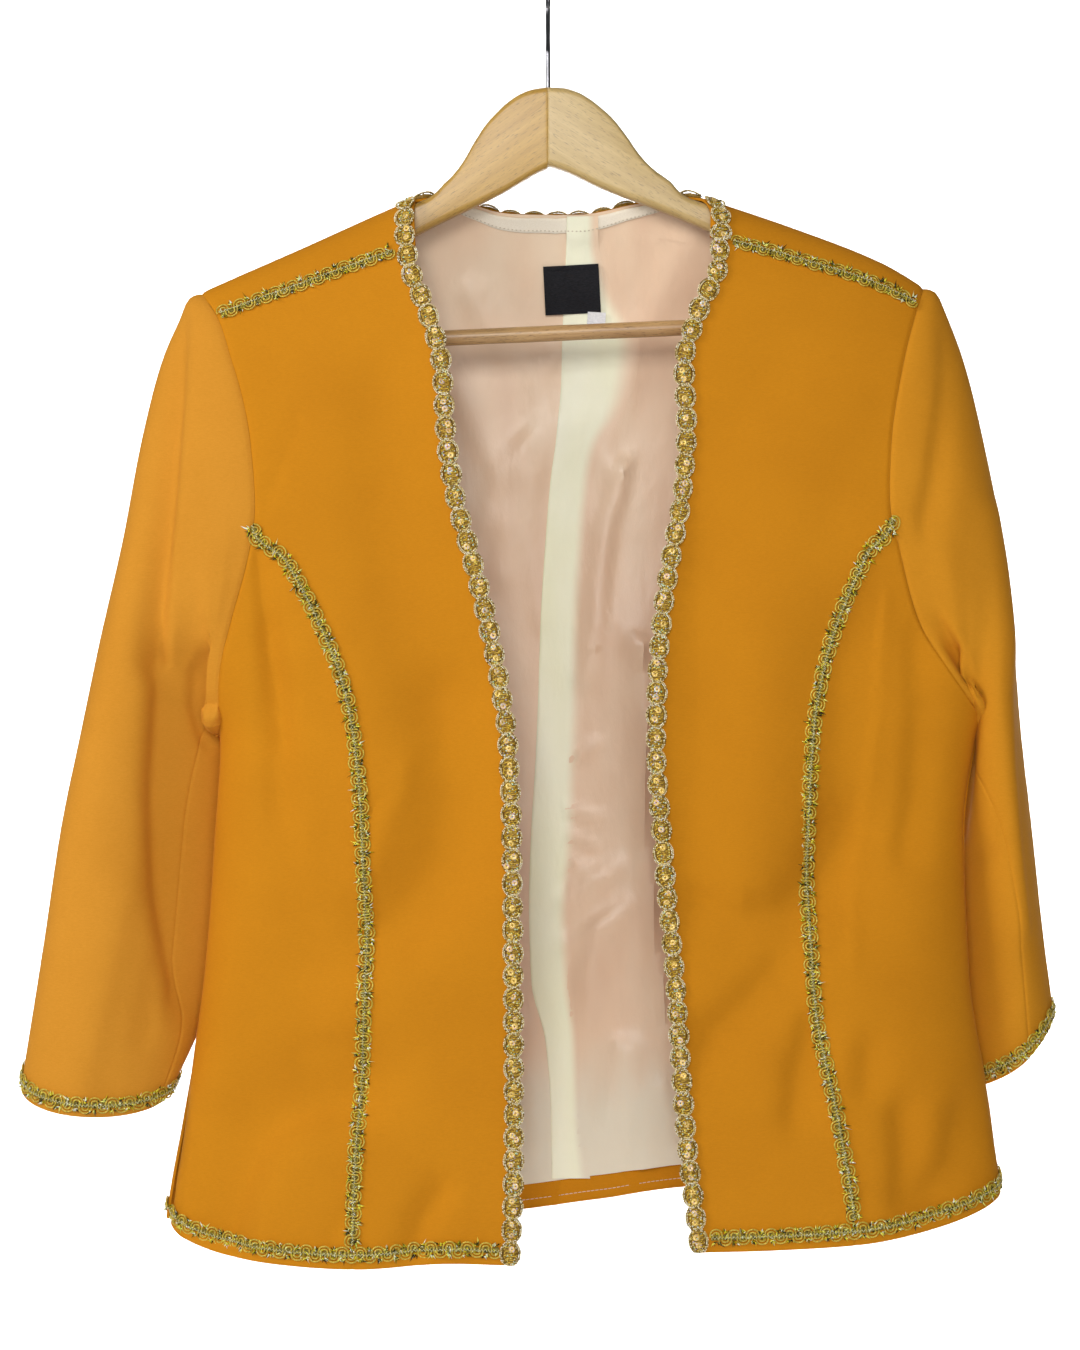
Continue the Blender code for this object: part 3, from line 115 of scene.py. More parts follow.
# %% Finishes
class Finish:
    """One material and its nodes."""

    def __init__(self, name):
        self.material = bpy.data.materials.new(name)
        self.material.use_nodes = True
        self.tree = self.material.node_tree
        self.shader = self.tree.nodes["Principled BSDF"]

    def add(self, kind, settings=None, sockets=None):
        """A node of this kind, with its settings first and then its sockets' values or links."""
        node = self.tree.nodes.new("ShaderNode" + kind)
        for name, value in (settings or {}).items():
            if name == "stops":
                ramp = node.color_ramp
                while len(ramp.elements) < len(value):
                    ramp.elements.new(1.0)
                for stop, (position, rgb) in zip(ramp.elements, value):
                    stop.position, stop.color = position, (*rgb, 1)
            else:
                setattr(node, name, value)
        for key, value in (sockets or {}).items():
            self.feed(node.inputs[key], value)
        return node

    def feed(self, socket, value):
        if isinstance(value, Flow):
            self.tree.links.new(value.socket, socket)
        elif isinstance(value, bpy.types.NodeSocket):
            self.tree.links.new(value, socket)
        elif socket.type == "RGBA" and len(value) == 3:
            socket.default_value = (*value, 1)
        else:
            socket.default_value = value

    def place(self):
        """The point on the piece, in metres."""
        return self.add("TexCoord").outputs["Object"]

    def noise(self, grain_mm, detail=2.0, rough=0.5, at=None, stretch=(1, 1, 1)):
        """Soft noise whose lumps are about this large; stretch makes them longer along an axis."""
        scale = [1 / s for s in stretch]
        where = self.add("Mapping", {}, {"Vector": at or self.place(), "Scale": scale})
        node = self.add("TexNoise", {}, {"Vector": where.outputs[0], "Scale": 1 / (grain_mm * MM),
                                         "Detail": detail, "Roughness": rough})
        return Flow(self, node.outputs["Fac"])

    def ramp(self, value, *stops):
        return self.add("ValToRGB", {"stops": stops}, {"Fac": value}).outputs["Color"]

    def step(self, value, low, high):
        """0 below low, 1 above high, and smooth between."""
        node = self.add("MapRange", {"interpolation_type": "SMOOTHSTEP"},
                        {"Value": value, "From Min": low, "From Max": high})
        return Flow(self, node.outputs["Result"])

    def blend(self, share, first, second):
        """A colour between two colours."""
        node = self.add("Mix", {"data_type": "RGBA"}, {0: share, 6: first, 7: second})
        return node.outputs[2]

    def bump(self, height, deep_mm):
        """A normal for a height that goes from 0 to 1."""
        sockets = {"Height": height, "Distance": deep_mm * MM, "Strength": 1.0}
        return self.add("Bump", {}, sockets).outputs["Normal"]

    def principled(self, **sockets):
        for name, value in sockets.items():
            self.feed(self.shader.inputs[name.replace("_", " ")], value)
        return self.material


print("finishes are written as sums")

# %% [markdown]
# The crepe is a matt polyester cloth with a fine pebbly twist.  Up close it has a diagonal twill;
# from two metres only a faint grain and slow changes of colour are left.  A flat orange would
# look like plastic, so three noises work on it: lumps of half a millimetre for the pebble, a
# drawn-out one for the threads and a wide one for wear and handling.  A little sheen stands for
# the fibres that catch the light at the edges of folds.

# %% Golden crepe
def crepe(name, lit, deep):
    """The cloth of the panels, between two tones of one orange."""
    made = Finish(name)
    pebble = made.noise(0.55, 3, 0.6)
    thread = made.noise(0.9, 2, 0.5, stretch=(3.0, 3.0, 0.7))
    slow = made.noise(60, 2, 0.5)
    tone = pebble * 0.35 + thread * 0.35 + slow * 0.3
    colour = made.ramp(tone, (0.28, deep), (0.72, lit))
    height = pebble * 0.6 + thread * 0.4
    return made.principled(Base_Color=colour, Roughness=slow * 0.08 + 0.80,
                           Normal=made.bump(height, 0.10), Sheen_Weight=0.08, Sheen_Roughness=0.4,
                           Sheen_Tint=(1.0, 0.62, 0.22), Specular_IOR_Level=0.12)


CREPE = crepe("golden_crepe", (0.632, 0.248, 0.009), (0.520, 0.192, 0.005))
# Each sleeve has its own copy of the crepe, paler than the body's and the left one most: this is
# painted sheen, the light that falls on each sleeve put into its colour.
SLEEVE_CREPE_PAINTED_LIGHT = {
    "left": crepe("golden_crepe_sleeve_left_painted_light", (0.695, 0.298, 0.031), (0.577, 0.233, 0.017)),
    "right": crepe("golden_crepe_sleeve_right_painted_light", (0.655, 0.272, 0.016), (0.543, 0.212, 0.009)),
}
print("crepe for panels and sleeves")

# %% [markdown]
# The lining is a peach satin acetate.  Its gloss is broad along the folds, and the thin cloth
# lets the orange behind it through in places, so its colour drifts between pink and sand.  The
# cream pleat is a second satin; it fades into the peach at its soft side.  The band behind the
# neck is plain cotton.

# %% Satins and cotton
PEACH_TONES = ((0.30, (0.785, 0.545, 0.375)), (0.50, (0.850, 0.622, 0.435)),
               (0.72, (0.885, 0.695, 0.505)))
CREAM_TONES = ((0.30, (0.920, 0.915, 0.630)), (0.70, (0.960, 0.955, 0.760)))
HEM_TONE = (0.80, 0.765, 0.62)


def peach(made, drift):
    """The colour of the lining, which drifts between tones and pales towards its hem."""
    high = Flow(made, made.add("SeparateXYZ", {}, {0: made.place()}).outputs[2])
    low = made.step(drift * 0.09 - high, 0.735, 0.800)
    return made.blend(low * 0.8, made.ramp(drift, *PEACH_TONES), HEM_TONE)


def satin(made, colour, shine, ripple_mm, ripple_long):
    """A thin glossy surface: a fine weave on slow ripples."""
    weave = made.noise(0.35, 2, 0.5, stretch=(1.0, 1.0, 5.0))
    ripple = made.noise(ripple_mm, 2, 0.45, stretch=(1.0, 1.0, ripple_long))
    height = weave * 0.12 + ripple * 0.88
    return made.principled(Base_Color=colour, Roughness=weave * 0.10 + shine,
                           Normal=made.bump(height, 0.9), Sheen_Weight=0.15, Sheen_Roughness=0.35,
                           Specular_IOR_Level=0.45)


def peach_satin():
    made = Finish("peach_satin")
    drift = made.noise(46, 2, 0.5, stretch=(1.0, 1.0, 2.6))
    return satin(made, peach(made, drift), 0.30, 11.0, 2.0)


PEACH = peach_satin()


def cotton():
    made = Finish("facing_cotton")
    weave = made.noise(0.5, 2, 0.6)
    colour = made.ramp(weave, (0.25, (0.84, 0.76, 0.62)), (0.75, (0.95, 0.88, 0.75)))
    return made.principled(Base_Color=colour, Roughness=0.78, Normal=made.bump(weave, 0.12),
                           Specular_IOR_Level=0.3)


COTTON = cotton()
print("satins and cotton")

# %% [markdown]
# The neck label is a black woven ribbon, here left plain, with a small white tab below it.  Both
# are taffeta: fine ribs lie across them in a darker and a lighter shade.

# %% Label ribbons
def ribbon(name, dark, light, rough):
    made = Finish(name)
    rib = made.noise(0.32, 1, 0.5, stretch=(6.0, 1.0, 1.0))
    colour = made.ramp(rib, (0.30, dark), (0.72, light))
    return made.principled(Base_Color=colour, Roughness=rough, Normal=made.bump(rib, 0.08),
                           Specular_IOR_Level=0.18)


LABEL_BLACK = ribbon("label_ribbon", (0.003, 0.003, 0.005), (0.012, 0.012, 0.016), 0.62)
TAB_WHITE = ribbon("tab_ribbon", (0.70, 0.70, 0.72), (0.86, 0.86, 0.87), 0.7)
THREAD = ribbon("pale_thread", (0.70, 0.68, 0.62), (0.85, 0.82, 0.76), 0.6)
# The band's stitches are darker than the cotton they hold; that darker tone is painted shade of the
# stitch holes.
STITCH_THREAD_PAINTED_SHADE = ribbon("stitch_thread_painted_shade", (0.56, 0.48, 0.36), (0.72, 0.64, 0.50), 0.7)
print("ribbons and thread")

# %% [markdown]
# The gimp braid has satin-covered cord, a pale thread and tufts of tinsel.  Every bit of tinsel
# is its own island of the mesh, so Random Per Island gives each one its colour, from near-white
# over lemon to dark olive and near-black; the near-white blades are painted glints and the
# near-black ones painted shade.  Beads and chips of foil are coloured in the same way, and the
# chips' near-white, aqua and violet are painted glints too.  The sequins' film also has a fine
# noise, so that one sequin shifts between gold, violet and aqua: painted glints within it.

# %% Braid finishes
def cord_finish(name, deep, lit, rough, metal):
    made = Finish(name)
    ply = made.noise(0.9, 2, 0.6)
    colour = made.ramp(ply, (0.30, deep), (0.68, lit))
    return made.principled(Base_Color=colour, Roughness=ply * 0.12 + rough, Metallic=metal,
                           Normal=made.bump(ply, 0.06), Specular_IOR_Level=0.5)


def glitter(name, stops, rough, metal, grain_mm=None):
    """Each island of the mesh has a colour of its own; with a grain it also changes within one, as
    painted glints.
    """
    made = Finish(name)
    tone = Flow(made, made.add("NewGeometry").outputs["Random Per Island"])
    if grain_mm:
        tone = made.noise(grain_mm, 1, 0.5) * 1.3 + tone * 0.3 - 0.3
    return made.principled(Base_Color=made.ramp(tone, *stops), Roughness=rough, Metallic=metal)


GIMP_CORD = cord_finish("gimp_cord", (0.28, 0.18, 0.008), (0.84, 0.62, 0.07), 0.32, 0.1)
GIMP_THREAD = cord_finish("gimp_thread", (0.34, 0.31, 0.08), (0.98, 0.94, 0.56), 0.35, 0.1)
GIMP_GROUND = cord_finish("gimp_ground", (0.06, 0.05, 0.004), (0.42, 0.32, 0.03), 0.6, 0.0)
# Near-white blades are painted glints and the darkest ones painted shade; lemon and olive are the
# tinsel's own tones.
TINSEL = glitter("tinsel", (
    (0.00, (0.02, 0.018, 0.002)), (0.30, (0.07, 0.06, 0.003)), (0.42, (0.50, 0.42, 0.012)),
    (0.58, (0.96, 0.82, 0.03)), (0.76, (1.00, 1.00, 0.25)), (0.88, (1.00, 1.00, 0.92)),
    (1.00, (0.58, 0.66, 0.04))), 0.2, 0.0)
BEADS = glitter("champagne_beads", (
    (0.00, (0.12, 0.07, 0.008)), (0.22, (0.42, 0.27, 0.05)), (0.42, (0.86, 0.68, 0.30)),
    (0.70, (1.00, 0.88, 0.56)), (1.00, (1.00, 0.98, 0.84))), 0.25, 0.1)
BEAD_CORD = cord_finish("bead_cord", (0.10, 0.065, 0.012), (0.42, 0.30, 0.08), 0.4, 0.1)
CROCHET = cord_finish("gold_crochet", (0.26, 0.13, 0.006), (1.00, 0.66, 0.06), 0.28, 0.15)
BRAID_BASE = cord_finish("braid_base", (0.10, 0.05, 0.004), (0.42, 0.24, 0.02), 0.5, 0.1)
# The near-white, aqua and violet chips are painted glints.
GOLD_CHIPS = glitter("gold_chips", (
    (0.00, (0.20, 0.10, 0.006)), (0.24, (0.60, 0.33, 0.015)), (0.44, (1.00, 0.72, 0.07)),
    (0.64, (1.00, 0.94, 0.30)), (0.78, (1.00, 0.98, 0.88)), (0.90, (0.55, 0.95, 0.60)),
    (1.00, (0.80, 0.62, 1.00))), 0.22, 0.1)
# The fine noise shifts each sequin between gold, violet, aqua and near-white: painted glints.
SEQUIN_FILM = glitter("sequin_film", (
    (0.00, (0.12, 0.06, 0.006)), (0.22, (0.52, 0.28, 0.03)), (0.40, (1.00, 0.68, 0.12)),
    (0.52, (0.98, 0.80, 0.36)), (0.62, (0.84, 0.46, 0.05)), (0.74, (0.66, 0.44, 0.80)),
    (0.85, (0.40, 0.86, 0.62)), (1.00, (1.00, 0.96, 0.80))), 0.18, 0.1, grain_mm=0.8)
print("braid finishes")

# %% [markdown]
# The hanger is lacquered beech.  Its grain runs along each arm, so the noise that draws it is
# turned by the arm's slope and stretched along it: wide bands for the growth rings, thin dark
# flecks for the rays.  The wire is chromed steel, given a dark grey colour as painted dark reflection.

# %% Beech and chrome
def beech(name, slope, lit, deep):
    """Pale wood whose grain climbs at a slope, in degrees, towards +X."""
    made = Finish(name)
    turned = made.add("Mapping", {"vector_type": "TEXTURE"},
                      {"Vector": made.place(), "Rotation": (0, -math.radians(slope), 0)}).outputs[0]
    rings = made.noise(5.0, 3, 0.55, at=turned, stretch=(16.0, 3.0, 1.0))
    lines = made.noise(1.1, 2, 0.6, at=turned, stretch=(30.0, 2.0, 1.0))
    fleck = made.noise(0.9, 1, 0.5, at=turned, stretch=(5.0, 1.0, 0.6))
    body = made.ramp(rings * 0.6 + lines * 0.4, (0.30, deep), (0.70, lit))
    dark = made.step(fleck, 0.60, 0.70)
    colour = made.blend(dark * 0.6, body, tuple(c * 0.45 for c in deep))
    return made.principled(Base_Color=colour, Roughness=lines * 0.12 + 0.36, Coat_Weight=0.25,
                           Coat_Roughness=0.25, Normal=made.bump(lines, 0.05), Specular_IOR_Level=0.5)


BEECH_LEFT = beech("beech_left_arm", 35, (0.590, 0.358, 0.080), (0.408, 0.222, 0.036))
BEECH_RIGHT = beech("beech_right_arm", -32, (0.622, 0.446, 0.188), (0.460, 0.308, 0.103))
BEECH_BAR = beech("beech_bar", 2.5, (0.660, 0.420, 0.180), (0.360, 0.190, 0.070))


def chrome():
    made = Finish("chromed_wire")
    drawn = made.noise(1.2, 2, 0.5, stretch=(1.0, 1.0, 14.0))
    # Dark greys, darker than chrome itself, paint the wire's dark reflection.
    colour = made.ramp(drawn, (0.3, (0.13, 0.13, 0.14)), (0.7, (0.24, 0.24, 0.26)))
    return made.principled(Base_Color=colour, Metallic=1.0, Roughness=drawn * 0.10 + 0.14)


CHROME = chrome()
print("beech and chrome")

# %% [markdown]
# The cloth follows the same surface as the solids.  RIDGE is the line of the shoulders seen from
# the front; from it the cloth rounds over to the front and the back.  A place on it has a turn,
# from the left side seam to the right one, and a reach, 0 on the ridge, negative in front and
# positive behind.  The tables are those of the solids, in millimetres, so each piece lands where
# its solid is.  Here whole grids of places are worked out at once, as arrays.

# %% Sizes of the cloth
FRONT_DEPTH, BACK_DEPTH = 50.0, 45.0
SHOULDER_FALL = 180.0
CENTRE_BACK = 5.0
NECK_REACH = 0.384
RIDGE = [(-320, -254), (-225, -208.2), (-161, -180), (-86.5, -147), (-40, -129.5), (5, -121.5),
         (50, -130), (99, -146), (164, -168), (216, -188.5), (244, -205), (320, -262)]

Body = namedtuple("Body", "z side_left edge_left edge_right side_right")
BODY = [Body(*row) for row in (
    (-120, -264, -86.5, 100.0, 300), (-150, -264, -86.5, 103.0, 300),
    (-190, -264, -84.5, 104.5, 300), (-225, -263, -72.0, 90.5, 300),
    (-260, -262, -62.5, 81.0, 300), (-300, -260, -60.0, 82.5, 300),
    (-340, -257, -54.5, 80.0, 300), (-380, -252, -44.0, 73.0, 299),
    (-420, -243, -34.0, 67.0, 297), (-460, -228, -26.0, 64.0, 292),
    (-500, -213, -20.5, 63.2, 279), (-560, -216.5, -18.0, 67.0, 271.5),
    (-650, -223, -17.0, 75.3, 274), (-740, -237, -16.6, 81.5, 288),
    (-790, -246, -17.2, 87.0, 294), (-840, -253, -20.0, 93.0, 299),
)]
Hem = namedtuple("Hem", "x front back")
HEM = [Hem(*row) for row in (
    (-256, -806, -806), (-240, -819, -813), (-208, -828, -817), (-124, -834, -818),
    (-60, -830, -815), (-20, -831, -811.6), (35, -828, -804), (92, -823, -796),
    (134, -822, -794), (196, -819, -793), (248, -810, -792), (280, -800, -791),
    (300, -790, -790),
)]
Princess = namedtuple("Princess", "z left right")
PRINCESS = [Princess(*row) for row in (
    (-340, -196, 222), (-360, -184.6, 212.5), (-380, -169, 202.7),
    (-420, -147, 186), (-460, -131, 174.8), (-500, -122.8, 168.9),
    (-560, -118, 166.8), (-650, -116, 168.4), (-740, -121, 184),
    (-790, -123.5, 192.7), (-840, -124.5, 198),
)]
PRINCESS_TOP, PRINCESS_BEND = {"left": -360, "right": -355}, 24
Armhole = namedtuple("Armhole", "share left right")
ARMHOLE = [Armhole(*row) for row in (
    (0.00, -225.0, 243.8), (0.07, -212.3, 236.5), (0.15, -204.5, 229.8),
    (0.25, -195.7, 223.7), (0.35, -190.2, 219.5), (0.50, -187.0, 217.5),
    (0.62, -192.3, 225.0), (0.75, -202.7, 236.0), (0.87, -211.5, 257.0),
    (1.00, -215.0, 283.0),
)]
UNDERARM = {"left": -492, "right": -487}
SHOULDER_SEAM = {"left": (34, 22), "right": (27, 17)}
SHOULDER_SPAN = {"left": (-86.0, -211.0), "right": (105.0, 237.0)}
Neck = namedtuple("Neck", "reach left right")
NECK = [Neck(*row) for row in (
    (-0.42, -85.2, 106.0), (-0.30, -87.2, 106.5), (0.00, -86.5, 99.0),
    (0.07, -79.0, 91.0), (0.15, -68.0, 80.0), (0.235, -55.0, 64.0),
    (0.285, -45.0, 51.0), (0.335, -32.0, 37.0), (0.37, -14.0, 23.0),
    (0.384, 5.0, 5.0),
)]
HANDS = {"left": -1, "right": 1}
print(len(BODY), "rows for the body,", len(ARMHOLE), "for the armholes")

# %% [markdown]
# Lines through the rows of a table are smooth and never overshoot, because each slope is the
# harmonic mean of its neighbours.  A spline with plain averages would ripple between rows.

# %% Smooth lines
def smooth(rows, key, at):
    """Values of a smooth line through rows at many places."""
    table = sorted((row[0], row[key]) for row in rows)
    places, values = np.array(table, float).T
    at = np.clip(at, places[0], places[-1])
    i = np.clip(np.searchsorted(places, at, side="right") - 1, 0, len(places) - 2)
    width, rise = np.diff(places), np.diff(values) / np.diff(places)
    before, after = rise[:-1], rise[1:]
    turning = before * after <= 0
    between = np.where(turning, 0, 2 * before * after / np.where(turning, 1, before + after))
    slope = np.concatenate([rise[:1], between, rise[-1:]])
    t = (at - places[i]) / width[i]
    return ((2 * t**3 - 3 * t**2 + 1) * values[i] + (t**3 - 2 * t**2 + t) * width[i] * slope[i]
            + (3 * t**2 - 2 * t**3) * values[i + 1] + (t**3 - t**2) * width[i] * slope[i + 1])


def mix(a, b, share):
    return a + (b - a) * share


def soft_step(value, low, high):
    share = np.clip((value - low) / (high - low), 0, 1)
    return share * share * (3 - 2 * share)


def unit(ways):
    return ways / np.maximum(np.linalg.norm(ways, axis=-1, keepdims=True), 1e-9)


print("ridge above the centre back:", float(smooth(RIDGE, 1, CENTRE_BACK)), "mm")

# %% [markdown]
# Each seam is a line of one table, looked up at a height or at an x.  The real seams were drawn on
# a flat pattern; here they are read where they show, from the front.

# %% Seams
def ridge(x):
    return smooth(RIDGE, 1, x)


def hem(x, side):
    return smooth(HEM, 1 if side == "front" else 2, x)


def side_seam(z, hand):
    return smooth(BODY, 1 if hand == "left" else 4, z)


def front_edge(z, hand):
    return smooth(BODY, 2 if hand == "left" else 3, z)


def of_hand(rows, at, hand):
    return smooth(rows, 1 if hand == "left" else 2, at)


def tip_height(hand):
    return float(ridge(ARMHOLE[0].left if hand == "left" else ARMHOLE[0].right))


def armhole(z, hand):
    """x of the armhole seam at a height."""
    top = tip_height(hand)
    return of_hand(ARMHOLE, (top - z) / (top - UNDERARM[hand]), hand)


def princess(z, hand):
    """x of the princess seam, which ends in the armhole seam."""
    top = PRINCESS_TOP[hand]
    return mix(of_hand(PRINCESS, z, hand), armhole(z, hand), soft_step(z, top - PRINCESS_BEND, top))


def seam_height(x, hand):
    """Height of the shoulder seam at x; the seam lies forward of the ridge."""
    neck, tip = SHOULDER_SPAN[hand]
    return ridge(x) - mix(*SHOULDER_SEAM[hand], np.clip((x - neck) / (tip - neck), 0, 1))


print("left shoulder seam at its tip:", round(float(seam_height(-211.0, "left")), 1), "mm")

# %% [markdown]
# The body's shape is worked out from turn and reach.  Modelling it by hand would give a nicer
# figure, but no way to say where a seam or a braid lies on it.

# %% The surface
def drop_and_swell(reach):
    """How far below the ridge a reach lies, and its share of the full depth."""
    quarter, away = math.pi / 2, np.abs(reach)
    inner = np.minimum(away, 1) * quarter
    drop = SHOULDER_FALL * (1 - np.cos(inner) + np.maximum(away - 1, 0) * quarter)
    return drop, np.sin(inner)


def reach_of(drop):
    quarter, share = math.pi / 2, np.maximum(drop, 0) / SHOULDER_FALL
    return np.arccos(1 - np.minimum(share, 1)) / quarter + np.maximum(share - 1, 0) / quarter


def turn_of(x, z):
    left, right = side_seam(z, "left"), side_seam(z, "right")
    return np.arcsin(np.clip((2 * x - left - right) / (right - left), -1, 1))


def turn_at(x, reach):
    """The turn of a place whose x and reach are known."""
    return turn_of(x, ridge(x) - drop_and_swell(reach)[0])


def settled(x, again):
    """x after it has been worked out from itself often enough to stay."""
    for _ in range(12):
        x = again(x)
    return x


def x_of(turn, height_at):
    """x at a turn, where the height depends on x."""
    def again(x):
        z = height_at(x)
        left, right = side_seam(z, "left"), side_seam(z, "right")
        return (left + right) / 2 + (right - left) / 2 * np.sin(turn)
    return settled(np.zeros_like(turn), again)


def smooth_place(turn, reach):
    """The undisturbed surface."""
    drop, swell = drop_and_swell(reach)
    x = x_of(turn, lambda at: ridge(at) - drop)
    depth = swell * np.cos(turn) * np.sqrt(1 + np.sin(turn) ** 2)
    y = np.where(reach < 0, -FRONT_DEPTH, BACK_DEPTH) * depth
    return np.stack([x, y, ridge(x) - drop], -1)


def outward(turn, reach):
    step = 0.002
    across = smooth_place(turn + step, reach) - smooth_place(turn - step, reach)
    along = smooth_place(turn, reach + step) - smooth_place(turn, reach - step)
    return unit(np.cross(across, along))


print("surface at the centre front:", smooth_place(np.array([0.2]), np.array([-1.5])).round(1))

# %% [markdown]
# Folds are listed one by one, each along a line seen from the front.  A fold is a trough, or a ridge
# where its depth is below 0, and it may be steeper on one side, as a hanging pleat is.  Noise in
# the mesh would look like crumpled paper; a tailor's cloth falls in a few long soft lines that
# start where it is held: the shoulder, the underarm and the bust.

# %% Folds
Fold = namedtuple("Fold", "line left right depth")


def fold_depth(x, z, folds):
    """How far folds sink the cloth at places seen from the front."""
    total = np.zeros_like(x)
    for fold in folds:
        line = np.array(fold.line, float)
        nearest, beside = np.full(x.shape, 1e9), np.zeros_like(x)
        for start, end in zip(line, line[1:]):
            way, long = end - start, math.dist(start, end)
            share = np.clip(((x - start[0]) * way[0] + (z - start[1]) * way[1]) / long ** 2, 0, 1)
            off_x, off_z = x - start[0] - share * way[0], z - start[1] - share * way[1]
            away, aside = np.hypot(off_x, off_z), (way[0] * off_z - way[1] * off_x) / long
            level = (away < nearest + 1e-6) & (np.abs(aside) > np.abs(beside))
            nearer = (away < nearest - 1e-6) | level
            beside = np.where(nearer, aside, beside)
            nearest = np.minimum(nearest, away)
        width = mix(fold.left, fold.right, 0.5 + 0.5 * beside / np.maximum(nearest, 1e-6))
        total += fold.depth * np.exp(-(nearest / width) ** 2)
    return total


print("a fold has", ", ".join(Fold._fields))

# %% [markdown]
# The front has its deep folds where the cloth hangs free of the bust, a long dent between bust and
# hem on each side, and small ones at the seams.  The back is smoother.  Every row is a line in
# millimetres, its widths to the left and right, and its depth.

# %% Folds of front and back
FRONT_FOLDS = [Fold(*row) for row in (
    (((-104, -270), (-104, -345), (-93, -415), (-85, -472)), 25, 32, 4.5),
    (((-64, -476), (-61, -530), (-66, -568), (-79, -595), (-96, -616), (-112, -623)), 25, 38, 9.5),
    (((-91, -516), (-103, -552), (-112, -579)), 8, 9, -1.6),
    (((-112, -540), (-96, -530)), 4, 5, 0.9),
    (((-110, -654), (-75, -641), (-43, -613), (-29, -594)), 40, 20, -6.4),
    (((-185, -380), (-182, -409), (-178, -447), (-173, -501)), 5, 10, 3.1),
    (((-158, -472), (-150, -568), (-158, -664)), 25, 20, 4.5),
    (((-128, -727), (-150, -728), (-171, -735), (-190, -755), (-201, -782), (-208, -808)),
     38, 17, 13.0),
    (((-126, -692), (-158, -695)), 8, 6, 1.3),
    (((-85, -820), (-78, -801), (-68, -785)), 9, 12, 4.5),
    (((-138, -816), (-133, -805), (-125, -796)), 6, 6, 1.6),
    (((-158, -296), (-178, -345)), 6, 4, 0.8),
    (((192, -450), (192, -485), (188, -536), (177, -576)), 40, 62, 12.5),
    (((183, -555), (168, -590), (148, -608), (122, -613), (97, -603)), 14, 30, 7.8),
    (((144, -648), (125, -667), (100, -689)), 13, 24, 5.6),
    (((168, -683), (160, -708), (157, -734)), 11, 18, 4.8),
    (((204, -695), (202, -718)), 9, 14, 3.1),
    (((225, -737), (227, -765), (226, -788)), 9, 16, 4.8),
    (((266, -740), (259, -769), (246, -788)), 12, 20, 5.0),
    (((238, -434), (241, -485), (238, -536), (232, -568)), 10, 16, 3.6),
    (((216, -409), (211, -485), (206, -536), (197, -587), (194, -638)), 3, 6, -1.0),
    (((97, -383), (98, -472), (95, -568)), 18, 34, 4.0),
    (((148, -260), (116, -294), (97, -326)), 20, 25, 1.4),
    (((192, -307), (180, -358)), 20, 20, 1.5),
    (((214, -284), (213, -326)), 16, 12, 1.2),
    (((210, -462), (209, -487)), 1.6, 1.6, 0.7),
    (((-205, -640), (-218, -720)), 12, 15, -1.6),
    (((-181, -430), (-178, -490), (-174, -545)), 8, 12, 3.4),
    (((-158, -450), (-154, -520), (-152, -590)), 10, 13, -2.2),
)]
BACK_FOLDS = [Fold(*row) for row in (
    (((-150, -300), (-120, -560)), 32, 32, 6.0),
    (((-70, -520), (-100, -800)), 28, 28, 7.0),
    (((60, -430), (78, -760)), 30, 30, 6.0),
    (((170, -330), (150, -600)), 30, 30, 6.0),
    (((230, -560), (236, -770)), 22, 22, 5.0),
    (((-190, -600), (-205, -790)), 20, 20, 6.0),
    (((-165, -240), (-152, -330)), 10, 16, 2.1),
    (((190, -250), (176, -350)), 16, 10, 2.0),
    (((-30, -560), (-44, -700), (-52, -830)), 14, 20, 2.2),
    (((30, -600), (44, -830)), 16, 12, 2.1),
    (((120, -640), (130, -830)), 12, 18, 2.4),
    (((-150, -650), (-158, -830)), 18, 12, 2.2),
)]


CALM_RIDGE = 0.25


def place(turn, reach):
    """Points of the cloth's outside with its folds, and the ways out of the cloth there."""
    point, normal = smooth_place(turn, reach), outward(turn, reach)
    x, z = point[..., 0], point[..., 2]
    sunk = np.where(reach < 0, fold_depth(x, z, FRONT_FOLDS), fold_depth(x, z, BACK_FOLDS))
    sunk = sunk * soft_step(np.abs(reach), 0.0, CALM_RIDGE)
    return point - normal * sunk[..., None], normal


print(len(FRONT_FOLDS), "folds in front,", len(BACK_FOLDS), "behind")

# %% [markdown]
# Every panel is a grid of points, closed into a thin wall.  Cloth could get its thickness from a
# Solidify modifier, but with the grid at hand the inner layer is one step along the way out.
# Along a seam the edge is turned under, so the surface dips there over a couple of millimetres,
# and the columns of the grid crowd towards the edge to carry that dip.

# %% Grids
SEAM_DIP, SEAM_SOFT = 0.9, 1.5
FREE_DIP, FREE_SOFT = 0.5, 0.8
CROWD = np.array((0, 0.4, 0.9, 1.6, 2.6, 4.2))


def crowded(length, count):
    """Shares from 0 to 1 that crowd at both ends of a length in millimetres."""
    near = CROWD / length
    even = np.linspace(near[-1], 1 - near[-1], count + 2)[1:-1]
    return np.concatenate([near, even, (1 - near)[::-1]])


def dip(points, ways, edges, deep=SEAM_DIP, soft=SEAM_SOFT):
    """Sink the grid's edges: low and high are its first and last row, start and end its columns."""
    sunk = np.zeros(points.shape[:2])
    for name in edges:
        lines = points if name in ("start", "end") else points.swapaxes(0, 1)
        gone = np.cumsum(np.linalg.norm(np.diff(lines, axis=1), axis=2), axis=1)
        gone = np.concatenate([np.zeros((len(lines), 1)), gone], axis=1)
        if name in ("end", "high"):
            gone = gone[:, -1:] - gone
        if name in ("low", "high"):
            gone = gone.T
        sunk = np.maximum(sunk, deep * np.exp(-(gone / soft) ** 2))
    return points - ways * sunk[..., None]


